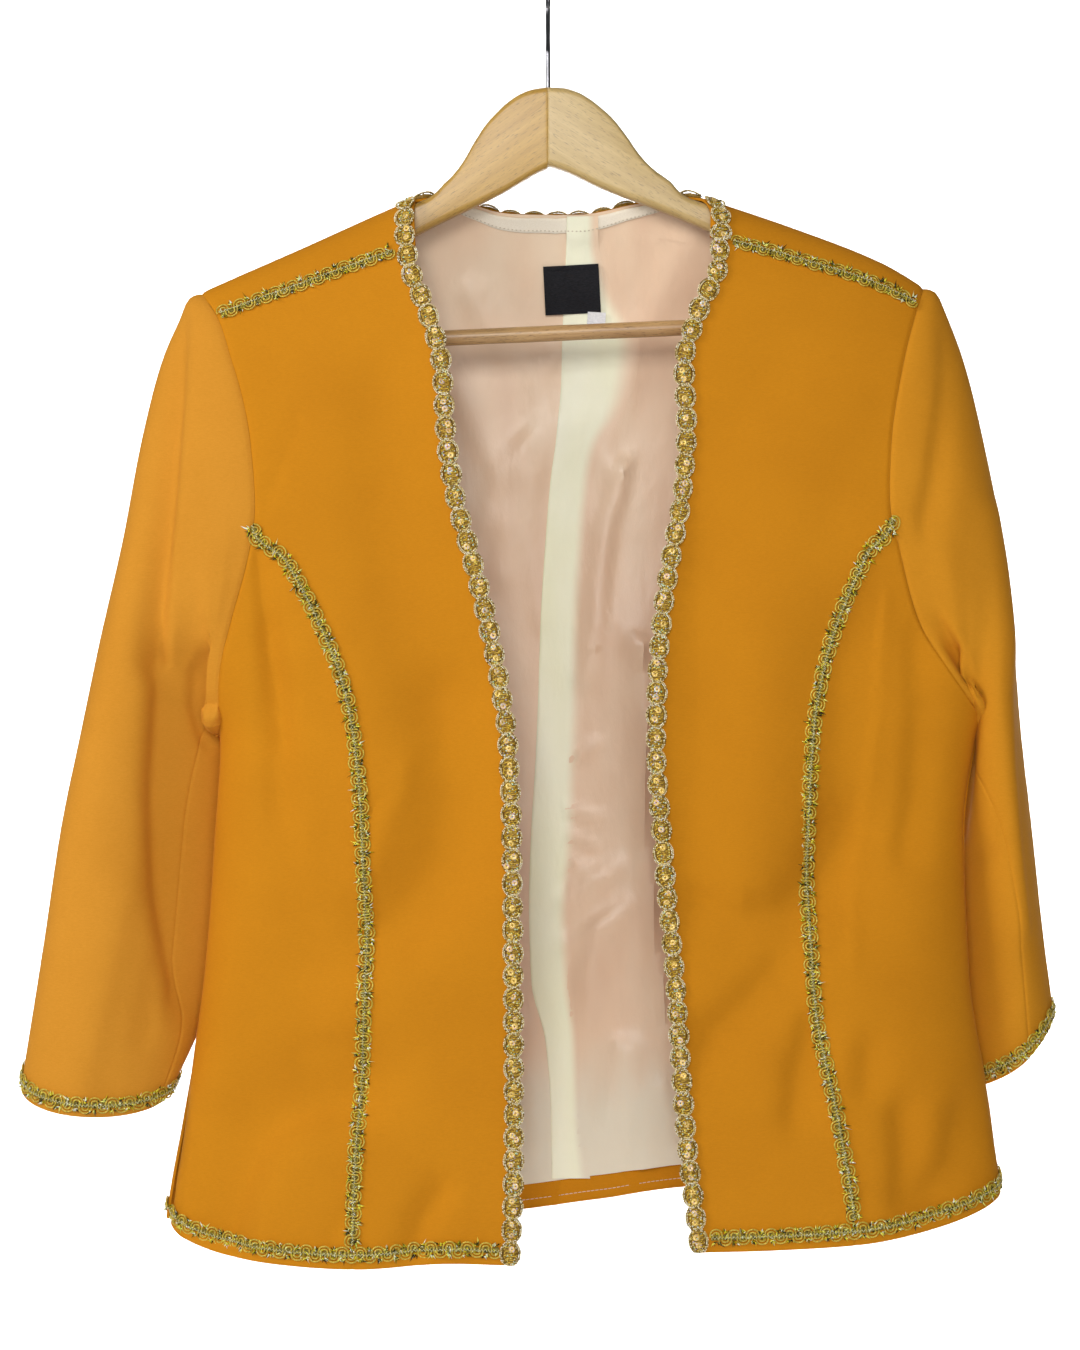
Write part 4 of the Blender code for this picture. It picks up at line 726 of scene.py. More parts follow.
def grid_ways(points, closed=False):
    """Ways out of a grid; a closed one goes round in its columns."""
    down = np.gradient(points, axis=0)
    if closed:
        across = np.roll(points, -1, axis=1) - np.roll(points, 1, axis=1)
    else:
        across = np.gradient(points, axis=1)
    return unit(np.cross(across, down))


def quads_of(rows, columns, closed=False):
    """Corner numbers of the cells of a grid."""
    wide = columns if closed else columns - 1
    i, j = np.meshgrid(np.arange(rows - 1), np.arange(wide), indexing="ij")
    k = (j + 1) % columns
    return np.stack([i * columns + j, i * columns + k, (i + 1) * columns + k, (i + 1) * columns + j],
                    -1).reshape(-1, 4)


print("columns crowd to", CROWD, "mm from an edge")

# %% [markdown]
# A wall is the outer grid, an inner one and a rim between them.  It is closed, like the solid it
# stands for, so light doesn't leak through and the mesh can be reused.

# %% Cloth walls
WALL = 1.4


def new_piece(name, points, faces, finishes, which=None, smooth_angle=50):
    """An object from points in millimetres, its faces and the finish of each face."""
    mesh = bpy.data.meshes.new(name)
    mesh.from_pydata((np.asarray(points) * MM).tolist(), [], [list(face) for face in faces])
    for finish in finishes:
        mesh.materials.append(finish)
    if which is not None:
        mesh.polygons.foreach_set("material_index", np.asarray(which, np.int32))
    mesh.shade_smooth()
    if smooth_angle:
        mesh.set_sharp_from_angle(angle=math.radians(smooth_angle))
    made = stand(name, mesh)
    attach(made, "root")
    return made


def wall(name, out, ways, thick, finish):
    """A thin closed wall below a grid of outer points."""
    rows, columns = out.shape[:2]
    inner = out - ways * thick
    cells = quads_of(rows, columns)
    total = rows * columns
    number = np.arange(total).reshape(rows, columns)
    edge = np.concatenate([number[0], number[1:, -1], number[-1, -2::-1], number[-2:0:-1, 0]]).tolist()
    sides = [(b, a, a + total, b + total) for a, b in zip(edge, edge[1:] + edge[:1])]
    faces = cells.tolist() + (cells[:, ::-1] + total).tolist() + sides
    points = np.concatenate([out.reshape(-1, 3), inner.reshape(-1, 3)])
    inwards = float(np.cross(out[0, 1] - out[0, 0], out[1, 1] - out[0, 0]) @ ways[0, 0]) < 0
    if inwards:
        faces = [face[::-1] for face in faces]
    return new_piece(name, points, faces, [finish])


print("walls are", WALL, "mm thick")

# %% [markdown]
# The fronts have two panels on each side, joined at the princess seam, which curves from the
# armhole over the bust to the hem.  Each row of a panel keeps its share of the height between
# hem and shoulder, so rows of neighbours meet at the seam.

# %% Fronts
def panel_spots(height_at, start, end, shares, across, side):
    """Turns and reaches of a grid between two edges, row by row up the panel."""
    share = shares[:, None]
    turns = []
    for edge in (start, end):
        x = settled(0 * share, lambda at: edge(height_at(at, share)))
        x = edge(height_at(x, share))
        turns.append(turn_of(x, height_at(x, share)))
    turn = mix(turns[0], turns[1], across[None, :])
    x = x_of(turn, lambda at: height_at(at, share))
    reach = reach_of(ridge(x) - height_at(x, share))
    return turn, -reach if side == "front" else reach


def panel(turn, reach, seams, free=()):
    """Outer points of a panel with its seams turned under and its free edges rounded."""
    points, ways = place(turn, reach)
    points = dip(points, ways, seams)
    points = dip(points, ways, free, FREE_DIP, FREE_SOFT)
    return points, ways


def side_edge(hand):
    return lambda z: np.where(z > UNDERARM[hand], armhole(z, hand), side_seam(z, hand))


def front_height(hand):
    return lambda x, share: mix(hem(x, "front"), seam_height(x, hand), share)


def front_shares(hand, x, z):
    return float((z - hem(x, "front")) / (seam_height(x, hand) - hem(x, "front")))


EDGE_BACK, EDGE_BACK_HIGH = 1.4, 1.8


def make_fronts(hand):
    top_z = PRINCESS_TOP[hand]
    outer = lambda z: np.where(z < top_z, princess(z, hand), armhole(z, hand))
    back = lambda z: EDGE_BACK + EDGE_BACK_HIGH * soft_step(z, -420, -330)
    edge = lambda z: front_edge(z, hand) + HANDS[hand] * back(z)
    rows, across = crowded(640, 130), crowded(110, 50)
    turn, reach = panel_spots(front_height(hand), edge, outer, rows, across, "front")
    points, ways = panel(turn, reach, ("end", "high"), ("start", "low"))
    front = wall("front_panel_" + hand, points, ways, WALL, CREPE)
    top = front_shares(hand, float(armhole(top_z, hand)), top_z - 1.5)
    shares = crowded(460, 96) * top
    turn, reach = panel_spots(front_height(hand), lambda z: princess(z, hand), side_edge(hand), shares,
                              crowded(100, 40), "front")
    points, ways = panel(turn, reach, ("start", "end"), ("low",))
    return front, wall("side_front_panel_" + hand, points, ways, WALL, CREPE)


PANELS = {hand: make_fronts(hand) for hand in HANDS}
for hand, (front, flank) in PANELS.items():
    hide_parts("front_" + hand)
    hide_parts("side_front_" + hand)
    print(hand, len(front.data.polygons), len(flank.data.polygons), "faces")

# %% [markdown]
# Each half of the back runs from the centre-back seam to the side seam, up the back, over the
# ridge of the shoulder and a little way down the front to the shoulder seam.  Its lower rows are
# level, like those of the fronts, and the ones on the shoulder run along the ridge.

# %% Back
def arm_x(reach, hand):
    """x of the armhole seam at a reach behind the ridge."""
    start = np.full(np.shape(reach), float(armhole(-230.0, hand)))
    return settled(start, lambda x: armhole(ridge(x) - drop_and_swell(reach)[0], hand))


def back_height(x, share):
    """Height of a place this share of the way from the back's hem to the level of the neck."""
    return mix(hem(x, "back"), ridge(x) - drop_and_swell(NECK_REACH)[0], share)


def centre_back(z):
    return np.full_like(z, CENTRE_BACK)


def over_shoulder(over, hand, across, inset):
    """Turns and reaches of rows that go over the shoulder between neck and armhole."""
    neck, arm = of_hand(NECK, over, hand), arm_x(over, hand) - HANDS[hand] * inset
    turn = mix(turn_at(neck, over), turn_at(arm, over), across[None, :])
    return turn, np.broadcast_to(over, turn.shape)


def back_spots(hand):
    """Turns and reaches of half of the back, from the hem up and over the shoulder."""
    across = crowded(230, 42)
    low = panel_spots(back_height, centre_back, side_edge(hand), crowded(640, 96)[:-5], across, "back")
    rows = [low, over_shoulder(np.linspace(NECK_REACH, -0.20, 26)[:, None], hand, across, 0.0)]
    last = panel_spots(lambda x, share: seam_height(x, hand) + 0 * share, lambda z: front_edge(z, hand),
                       lambda z: armhole(z, hand), np.array([1.0]), across, "front")
    steps = crowded(30, 6)[1:, None]
    rows.append([mix(over[-1:], end, steps) for over, end in zip(rows[1], last)])
    return [np.concatenate(parts) for parts in zip(*rows)]


for hand in HANDS:
    points, ways = panel(*back_spots(hand), ("start", "end", "high"), ("low",))
    back = wall("back_panel_" + hand, points, ways, WALL, CREPE)
    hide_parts("back_" + hand)
    PANELS[hand] += (back,)
    print("back", hand, points.shape[:2])

# %% [markdown]
# A sleeve is a tube of rings.  The first ring is the armhole itself, and its shape dies away
# over the upper part, where the plain rings of the table take over.  The front of the left
# sleeve falls in one deep pleat from the shoulder, the right one in a soft break above the elbow.

# %% Sleeves
Ring = namedtuple("Ring", "along outer_x outer_z inner_x inner_z inner_y outer_y depth dip thin")
SLEEVE = {
    "left": [Ring(*row) for row in (
        (0.00, -225, -208, -215, -492, 1, 0, 42, 0, 0),
        (0.016, -233, -211.5, -217, -491, 1, 0, 42, 0, 0),
        (0.045, -239.5, -225, -218, -491, 1, 0, 42, 0, 0),
        (0.105, -252, -255, -217, -492, 3, 0, 41, 0, 0),
        (0.20, -264, -304, -214.5, -494, 9, -1, 40, 0, 0.2),
        (0.32, -276, -369, -211, -500, 15, -2, 39, 0, 0.45),
        (0.45, -290.6, -434, -208.5, -518, 18, -3, 38, 0, 0.65),
        (0.56, -303, -493, -208.5, -550, 19, -3, 36, 1, 0.7),
        (0.68, -316, -556, -211, -600, 19, -3, 35, 3, 0.6),
        (0.82, -327, -629, -219, -662, 15, -3, 33, 8, 0.35),
        (1.00, -342, -723, -245, -727, 2, -3, 30, 15, 0.1),
    )],
    "right": [Ring(*row) for row in (
        (0.00, 243.8, -205, 283, -487, 1, 0, 42, 0, 0),
        (0.016, 251.6, -208, 285.5, -486.5, 1, 0, 42, 0, 0),
        (0.045, 258.5, -222, 287, -487, 2, 0, 42, 0, 0),
        (0.105, 269.5, -250, 286, -489, 3, 1, 42, 0, 0),
        (0.20, 283, -304, 282.5, -493, 7, 3, 41, 0, 0.1),
        (0.32, 295.8, -369, 276, -501, 15, 6, 40, 0, 0.2),
        (0.45, 304.2, -434, 269.5, -518, 20, 9, 40, 0, 0.25),
        (0.56, 309.5, -493, 266, -540, 28, 12, 39, 1, 0.3),
        (0.68, 317, -556, 264, -580, 38, 15, 37, 3, 0.4),
        (0.82, 325, -625, 260, -648, 50, 19, 35, 8, 0.55),
        (1.00, 333, -683, 253, -729, 64, 22, 34, 14, 0.6),
    )],
}
print({hand: len(rows) for hand, rows in SLEEVE.items()}, "rings given")

# %% [markdown]
# The left sleeve's pleat turns inwards at the elbow and widens towards the cuff.  The right one
# breaks at the elbow beside the body.  The hidden sides have a few plain folds.

# %% Folds of the sleeves
SLEEVE_FOLDS = {
    "left": [Fold(*row) for row in (
        (((-237, -230), (-238, -278), (-241, -328), (-245, -377), (-248, -415), (-248, -446)),
         15, 4, 9.0),
        (((-247, -466), (-249, -500), (-251, -534), (-249, -594), (-244, -624), (-238, -655)),
         8, 45, 11.0),
        (((-222, -446), (-226, -458), (-225, -480), (-219, -500)), 4, 9, 4.0),
        (((-223, -464), (-213, -462)), 1.5, 1.5, 0.9),
        (((-272, -598), (-292, -684), (-300, -723)), 24, 10, -2.4),
        (((-252, -645), (-259, -690)), 9, 6, 1.8),
    )],
    "right": [Fold(*row) for row in (
        (((256, -242), (254, -271), (249, -303), (243, -338), (236, -359)), 5, 14, 3.4),
        (((251, -425), (258, -436), (266, -450), (271, -468)), 9, 3, 4.2),
        (((262, -444), (268, -456), (271, -476), (271, -502), (270, -528), (268, -560)), 10, 3.5, 8.5),
        (((261, -454), (271, -457)), 1.5, 1.5, 0.8),
        (((288, -352), (294, -385), (300, -447), (301, -516), (305, -567), (312, -618)), 10, 5, -3.0),
        (((320, -470), (329, -600), (334, -720)), 36, 8, 6.5),
        (((300, -660), (279, -676)), 8, 8, 1.5),
        (((266, -583), (284, -574)), 6, 9, 2.0),
    )],
}
SLEEVE_BACK_FOLDS = {
    "left": [Fold(*row) for row in (
        (((-262, -330), (-272, -520)), 16, 16, 5.0),
        (((-282, -560), (-300, -690)), 14, 14, 4.0),
        (((-240, -260), (-246, -420)), 12, 12, 2.4),
    )],
    "right": [Fold(*row) for row in (
        (((272, -300), (280, -400)), 14, 14, 3.0),
        (((296, -600), (292, -690)), 14, 14, 3.0),
        (((262, -260), (270, -400)), 12, 12, 2.0),
    )],
}
print({hand: len(folds) for hand, folds in SLEEVE_FOLDS.items()}, "folds in front")

# %% [markdown]
# The rings could be skinned by a modifier, but then the seam with the body would not close.  Here
# the first ring is the armhole's own line, so it closes exactly.

# %% Rings of the sleeves
LOOP_FADE, CALM_SEAM = 0.45, 0.06
RINGS = np.concatenate([[0, 0.0012, 0.003, 0.006, 0.010], np.linspace(0.016, 0.992, 92),
                        [0.996, 0.9985, 1]])
ROUND = 128


def sleeve_base(hand, along, angle):
    """Points of a plain ring; the angle is 0 outside, 180 degrees at the body, above 0 in front."""
    get = lambda field: smooth(SLEEVE[hand], Ring._fields.index(field), along)
    out_share = (1 + np.cos(angle)) / 2
    x = mix(get("inner_x"), get("outer_x"), out_share)
    z = mix(get("inner_z"), get("outer_z"), out_share) - get("dip") * np.sin(angle)
    thin = np.where(angle > 0, get("thin"), 0)
    deep = get("depth") * (1 - thin * (1 - out_share))
    y = get("inner_y") * (1 - out_share) ** 2 + get("outer_y") * out_share - deep * np.sin(angle)
    return np.stack([x, y, z], -1)


def armhole_loop(hand, angle):
    """Points of the armhole at angles round it."""
    top, low = tip_height(hand), UNDERARM[hand]
    z = mix(top, low, (1 - np.cos(angle)) / 2)
    x = armhole(z, hand)
    reach = reach_of(ridge(x) - z)
    return place(turn_of(x, z), np.where(angle > 0, -reach, reach))


def sleeve_rings(hand):
    """Outer points of a sleeve, ring by ring, and its ways out."""
    angle = (np.arange(ROUND) + 0.5) / ROUND * 2 * math.pi - math.pi
    loop, _ = armhole_loop(hand, angle)
    along, around = RINGS[:, None], angle[None, :]
    fade = np.maximum(1 - along / LOOP_FADE, 0)[..., None] ** 2
    rings = sleeve_base(hand, along, around) + fade * (loop - sleeve_base(hand, 0 * angle, angle))[None]
    ways = grid_ways(rings, closed=True)
    middle = rings.mean(axis=1, keepdims=True)
    if float(((rings - middle) * ways).sum()) < 0:
        ways = -ways
    x, z = rings[..., 0], rings[..., 2]
    front, behind = (fold_depth(x, z, folds[hand]) for folds in (SLEEVE_FOLDS, SLEEVE_BACK_FOLDS))
    away_from_seam = np.minimum(along / CALM_SEAM, 1)
    sunk = np.where(around > 0, front, behind) * away_from_seam * np.abs(np.sin(around)) ** 0.6
    rings = rings - ways * sunk[..., None]
    again = grid_ways(rings, closed=True)
    return rings, again * np.sign((again * ways).sum()), angle


SLEEVES = {hand: sleeve_rings(hand) for hand in HANDS}
print("rings", {hand: rings[0].shape[:2] for hand, rings in SLEEVES.items()})

# %% [markdown]
# Each sleeve is cut in two: a wide upper piece and a narrow under one.  The front seam shows as
# a fine line from the armpit to the cuff, and the hind seam lies on the hidden side.

# %% Sleeve pieces
SeamLine = namedtuple("SeamLine", "along front behind")
SLEEVE_SEAMS = {
    "left": [SeamLine(*row) for row in (
        (0, 2.9, -2.2), (0.3, 2.6, -2.15), (0.46, 2.28, -2.1),
        (0.6, 2.14, -2.1), (0.77, 2.18, -2.1), (0.86, 2.46, -2.1),
        (1, 2.62, -2.1),
    )],
    "right": [SeamLine(*row) for row in (
        (0, 3.0, -2.2), (0.4, 2.75, -2.1), (0.575, 1.89, -2.1),
        (0.65, 1.5, -2.1), (0.72, 1.25, -2.1), (0.78, 1.1, -2.1),
        (1, 1.0, -2.1),
    )],
}


def follow(at, marks, values):
    """Points between points whose marks are known."""
    return np.stack([np.interp(at, marks, values[:, axis]) for axis in range(3)], -1)


def on_ring(values, angle, wanted):
    """Values of a closed ring at other angles, for each ring of a tube."""
    turns = np.concatenate([angle - 2 * math.pi, angle, angle + 2 * math.pi])
    rings = zip(values, wanted)
    return np.array([follow(at, turns, np.concatenate([ring, ring, ring])) for ring, at in rings])


def sleeve_piece(hand, name, wide, columns):
    rings, ways, angle = SLEEVES[hand]
    front, behind = (smooth(SLEEVE_SEAMS[hand], column, RINGS) for column in (1, 2))
    first, last = (front, behind + 2 * math.pi) if name == "under" else (behind, front)
    wanted = mix(first[:, None], last[:, None], crowded(wide, columns)[None, :])
    points, out = on_ring(rings, angle, wanted), unit(on_ring(ways, angle, wanted))
    points = dip(points, out, ("start", "end"), FREE_DIP, 1.0)
    points = dip(points, out, ("low",))
    points = dip(points, out, ("high",), FREE_DIP, FREE_SOFT)
    # The sleeve's copy of the crepe carries painted sheen in its colour.
    made = wall(f"sleeve_{name}_piece_{hand}", points, out, WALL, SLEEVE_CREPE_PAINTED_LIGHT[hand])
    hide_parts(f"sleeve_{name}_{hand}")
    return made


for hand in HANDS:
    PANELS[hand] += (sleeve_piece(hand, "upper", 180, 90), sleeve_piece(hand, "under", 110, 36))
    print("sleeve", hand, [len(piece.data.polygons) for piece in PANELS[hand][3:]])

# %% [markdown]
# The lining hangs loose inside the back.  It follows the back a few millimetres inside it, and
# its own folds stand towards the viewer: long soft ones from the shoulders, a swirl above the
# waist where it drags on the bar, and slanting ones near the hem.

# %% Lining
LINING_FOLDS = [Fold(*row) for row in (
    (((-54, -277), (-44, -300), (-34, -320)), 9, 21, -2.2),
    (((7, -288), (-7, -298), (-21, -312), (-32, -330), (-39, -352)), 9, 19.6, -2.6),
    (((-2, -284), (-5, -264), (4, -243)), 6, 9.8, -1.5),
    (((-16, -306), (-16, -326), (-25, -358), (-30, -390)), 7.5, 12.6, -2.1),
    (((-9, -322), (-11, -344), (-14, -368), (-9, -390), (-7, -419)), 4.5, 8.4, -1.6),
    (((88, -171), (69, -217)), 9, 16.8, -1.9),
    (((58, -238), (50, -276), (37, -304)), 24, 8.4, -2.0),
    (((50, -322), (48, -338), (41, -357), (37, -390), (34, -424), (29, -458)), 12, 3.5, -5.2),
    (((57, -311), (50, -322)), 3, 3, -2.4),
    (((29, -501), (20, -510)), 2.5, 4, -2.7),
    (((61, -435), (66, -457), (65, -500), (65, -541), (69, -604), (74, -646), (80, -687)),
     7, 3.5, -6.0),
    (((45, -583), (24, -598), (12, -608)), 7, 9, -3.1),
    (((41, -616), (24, -629), (12, -635)), 6, 8, -3.1),
    (((50, -608), (31, -646), (26, -677)), 8, 14, -3.9),
    (((31, -623), (22, -658)), 5, 7, -2.7),
    (((46, -704), (44, -729), (39, -746)), 6, 10, -3.6),
    (((52, -708), (60, -740), (62, -781)), 5, 14, -3.9),
    (((75, -729), (85, -771)), 4, 8, -3.4),
    (((12, -545), (34, -552)), 3, 3, -1.8),
    (((14, -562), (32, -570)), 3, 3, -1.7),
    (((17, -580), (34, -592)), 3, 3, -1.7),
    (((16, -751), (30, -758)), 2.5, 2.5, -1.2),
    (((14, -760), (34, -768)), 2.5, 2.5, -1.2),
    (((-52, -205), (-34, -236)), 8, 12, -2.6),
    (((-22, -690), (-10, -738), (-8, -770)), 4, 7, -2.9),
    (((-150, -260), (-120, -420), (-110, -640)), 18, 26, -5.2),
    (((140, -280), (130, -460), (150, -700)), 18, 26, -5.2),
    (((-190, -420), (-196, -700)), 18, 18, -3.9),
    (((220, -420), (226, -700)), 18, 18, -3.9),
)]
LINING_OFF, LINING_INSET, SATIN_WALL = 3.2, 3.0, 0.5
FOLD_LIMIT = -7.5


def lining_place(turn, reach, off=0.0):
    """Points on the lining's face, off nearer to the viewer, and the ways towards the viewer."""
    point, normal = place(turn, reach)
    folds = fold_depth(point[..., 0], point[..., 2], LINING_FOLDS)
    slack = LINING_OFF - np.maximum(FOLD_LIMIT, folds) + off
    return point - normal * slack[..., None], -normal


def make_lining(hand):
    side, across = side_edge(hand), crowded(230, 60)
    low = panel_spots(back_height, centre_back, lambda z: side(z) - HANDS[hand] * LINING_INSET,
                      np.linspace(0.025, 0.99, 132), across, "back")
    high = over_shoulder(np.linspace(NECK_REACH, 0.21, 12)[:, None], hand, across, LINING_INSET)
    points, ways = lining_place(*(np.concatenate(parts) for parts in zip(low, high)))
    made = wall("lining_satin_" + hand, points, ways, SATIN_WALL, PEACH)
    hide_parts("lining_back_" + hand)
    return made


LININGS = {hand: make_lining(hand) for hand in HANDS}
print("lining", [len(piece.data.polygons) for piece in LININGS.values()])

# %% [markdown]
# The cream pleat runs down the middle of the lining.  Its left side is a sharp fold that casts a
# thin shadow, and its right side melts into the peach, so the finish fades across it.  The fade
# needs a coordinate that follows the pleat, which a UV map gives: u is 0 at the fold.

# %% Cream pleat
Pleat = namedtuple("Pleat", "z left right")
PLEAT = [Pleat(*row) for row in (
    (-153.5, 12.6, 33.5), (-169, 12.3, 33.5), (-200, 11.0, 42.0),
    (-238, 9.4, 61.0), (-263, 8.8, 58.0), (-284, 7.0, 50.0),
    (-304, 5.0, 36.0), (-325, 2.0, 30.5), (-366, -1.5, 26.0),
    (-424, -5.0, 23.0), (-473, -6.5, 24.0), (-520, -8.6, 22.0),
    (-558, -11.0, 21.0), (-608, -12.6, 15.0), (-660, -11.0, 17.0),
    (-700, -1.6, 21.0), (-745, 1.9, 22.0), (-790.5, 2.6, 28.0),
)]


PLEAT_LIFT, PLEAT_RISE = 0.15, 1.0
FACING_LOW_EDGE, OVER_FACING = (-174, -166), 1.9


def back_spot(x, z):
    return turn_of(x, z), reach_of(ridge(x) - z)


def map_across(piece, rows, columns, across):
    """A UV map whose u goes across the grid; both layers of the wall share it."""
    layer = piece.data.uv_layers.new(name="across")
    corner = np.empty(len(piece.data.loops), np.int32)
    piece.data.loops.foreach_get("vertex_index", corner)
    corner = corner % (rows * columns)
    u, v = across[corner % columns], (corner // columns) / (rows - 1)
    layer.data.foreach_set("uv", np.stack([u, v], -1).ravel())


def fading_satin():
    """Cream at the pleat's fold that fades into the peach of the lining."""
    made = Finish("cream_pleat_satin")
    across = made.add("UVMap", {"uv_map": "across"}).outputs[0]
    u = Flow(made, made.add("SeparateXYZ", {}, {0: across}).outputs[0])
    drift = made.noise(50, 2, 0.5, stretch=(1.0, 1.0, 2.4))
    faded = made.step(u + drift * 0.3, 0.80, 1.12)
    colour = made.blend(faded, made.ramp(drift, *CREAM_TONES), peach(made, drift))
    return satin(made, colour, 0.34, 9.0, 3.0)


def make_pleat():
    z = np.linspace(PLEAT[-1].z, PLEAT[0].z, 150)[:, None]
    across = crowded(26, 20)
    x = mix(smooth(PLEAT, 1, z), smooth(PLEAT, 2, z), across[None, :])
    z = np.broadcast_to(z, x.shape)
    rise = PLEAT_RISE * (1 - soft_step(across, 0.35, 0.95)) * (1 - np.exp(-across / 0.02) * 0.6)
    rise = PLEAT_LIFT + rise
    over_facing = OVER_FACING * soft_step(z, *FACING_LOW_EDGE)
    points, ways = lining_place(*back_spot(x, z), off=rise[None, :] + over_facing)
    made = wall("cream_pleat", points, ways, SATIN_WALL, fading_satin())
    map_across(made, *points.shape[:2], across)
    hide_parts("lining_pleat")
    return made


PLEAT_PIECE = make_pleat()
print("pleat", len(PLEAT_PIECE.data.polygons), "faces")

# %% [markdown]
# A cotton band faces the back neck.  It follows the neck edge, a little below it and in front of
# the lining, and its long edges are pressed thin.

# %% Neck facing
FACING_SPAN = (-62.0, 78.0)
FACING_OFF, FACING_WALL = 4.6, 0.6
FACING_TOP, FACING_DEEP, STITCHED_AT = 0.013, 0.055, 0.060


def reach_at(x, hand):
    """Reach of the back neck edge at x."""
    return smooth([(getattr(row, hand), row.reach) for row in NECK if row.reach >= 0], 1, x)


def facing_spot(x, below):
    """A place this reach below the back neck edge."""
    reach = np.where(x < CENTRE_BACK, reach_at(x, "left"), reach_at(x, "right")) + below
    return turn_at(x, reach), reach


def make_facing():
    x = np.linspace(*FACING_SPAN, 110)[None, :]
    below = (FACING_TOP + FACING_DEEP * crowded(10, 8))[:, None]
    point, normal = place(*facing_spot(x + 0 * below, below + 0 * x))
    out, ways = point - normal * FACING_OFF, -normal
    out = dip(out, ways, ("low", "high"), 0.4, 0.7)
    made = wall("neck_facing_band", out, ways, FACING_WALL, COTTON)
    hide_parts("neck_facing")
    return made


FACING = make_facing()
print("facing", len(FACING.data.polygons), "faces")

# %% [markdown]
# A row of stitches holds the band's lower edge and another one the hem.  They are modelled one by
# one, as small rounded bars that sink into the cloth, and joined into one piece.  A bump map would
# be lighter, but it has no outline where the light rakes.

# %% Stitches
def walked(points):
    """Length of the way along points, at each of them."""
    return np.concatenate([[0], np.cumsum(np.linalg.norm(np.diff(points, axis=0), axis=1))])


def circles(first, second, count):
    """Ways round circles that go from the first way towards the second."""
    turns = (np.arange(count) / count * 2 * math.pi)[None, :, None]
    return first[:, None] * np.cos(turns) + second[:, None] * np.sin(turns)


STITCH_SHARES = np.array((0, 0.12, 0.5, 0.88, 1.0))
STITCH_SWELL = np.array((0.35, 0.85, 1.0, 0.85, 0.35))
STITCH_SIDES, STITCH_FLAT = 6, 0.5
STITCH_FACES = (len(STITCH_SHARES) - 1) * STITCH_SIDES + 2


def stitches(name, points, ways, length, gap, thick, finish):
    """Bars of thread laid along a line of points, flattened and half sunk."""
    gone = walked(points)
    verts, faces = [], []
    for start in np.arange(0, gone[-1] - length, length + gap):
        at = start + STITCH_SHARES * length
        centre, up = follow(at, gone, points), unit(follow(at, gone, ways))
        side = unit(np.cross(np.gradient(centre, axis=0), up))
        ring = circles(side, up * STITCH_FLAT, STITCH_SIDES) * (thick / 2 * STITCH_SWELL)[:, None, None]
        base = len(verts)
        verts.extend((centre[:, None] + ring).reshape(-1, 3))
        faces.extend((quads_of(len(at), STITCH_SIDES, True) + base).tolist())
        end = np.arange(STITCH_SIDES) + base
        faces += [end[::-1].tolist(), (end + (len(at) - 1) * STITCH_SIDES).tolist()]
    return new_piece(name, verts, faces, [finish], smooth_angle=0)


line_x = np.linspace(FACING_SPAN[0] + 2, FACING_SPAN[1] - 2, 240)
point, normal = place(*facing_spot(line_x, STITCHED_AT))
over_pleat = 1.75 * soft_step(line_x, 11.0, 12.5) * (1 - soft_step(line_x, 33.0, 34.5))
off = (FACING_OFF + 0.05 + over_pleat)[:, None]
# These stitches take the darker thread, whose tone is painted shade of the stitch holes.
FACING_STITCHES = stitches("facing_stitches", point - normal * off, -normal, 1.2, 1.5, 0.75,
                           STITCH_THREAD_PAINTED_SHADE)
line_x = np.linspace(side_seam(-800.0, "left") + 6, side_seam(-800.0, "right") - 6, 900)
point, normal = place(*back_spot(line_x, hem(line_x, "back") + 6.0))
HEM_STITCHES = stitches("back_hem_stitches", point - normal * (WALL + 0.06), -normal, 2.4, 0.5, 0.4,
                        THREAD)
print("stitches:", [len(made.data.polygons) // STITCH_FACES
                    for made in (FACING_STITCHES, HEM_STITCHES)])

# %% [markdown]
# The label is sewn on the lining just under the neck.  It lies a little loose: its edges lift
# and its middle bows out.  A row of black stitches along its top holds it.

# %% Label and tab
LABEL = {"x": 16.0, "z": -201.2, "width": 37.0, "height": 32.0, "tilt": 3.0}
TAB = {"x": 32.2, "z": -222.2, "width": 12.0, "height": 12.5, "tilt": -3.0}
RIBBON_WALL, STITCHED_HIGH = 0.45, 0.42


def ribbon_place(size, share_x, share_z, off):
    """Points of a tilted ribbon; the shares go from -0.5 to 0.5."""
    turn = math.radians(size["tilt"])
    across, up = share_x * size["width"], share_z * size["height"]
    x = size["x"] + across * math.cos(turn) - up * math.sin(turn)
    z = size["z"] + across * math.sin(turn) + up * math.cos(turn)
    return lining_place(*back_spot(x, z), off=off)


def make_ribbon(name, size, lift, bow, finish):
    up, across = crowded(size["height"], 16) - 0.5, crowded(size["width"], 18) - 0.5
    share_z, share_x = np.meshgrid(up, across, indexing="ij")
    corners = 0.35 * (np.maximum(np.abs(share_x), np.abs(share_z)) * 2) ** 8
    waves = 0.25 * np.sin(share_x * 9 + share_z * 4)
    off = lift + bow * (1 - (2 * share_z) ** 2) + corners + waves
    points, ways = ribbon_place(size, share_x, share_z, off)
    points = dip(points, ways, ("start", "end", "low", "high"), 0.15, 0.5)
    return wall(name, points, ways, RIBBON_WALL, finish)


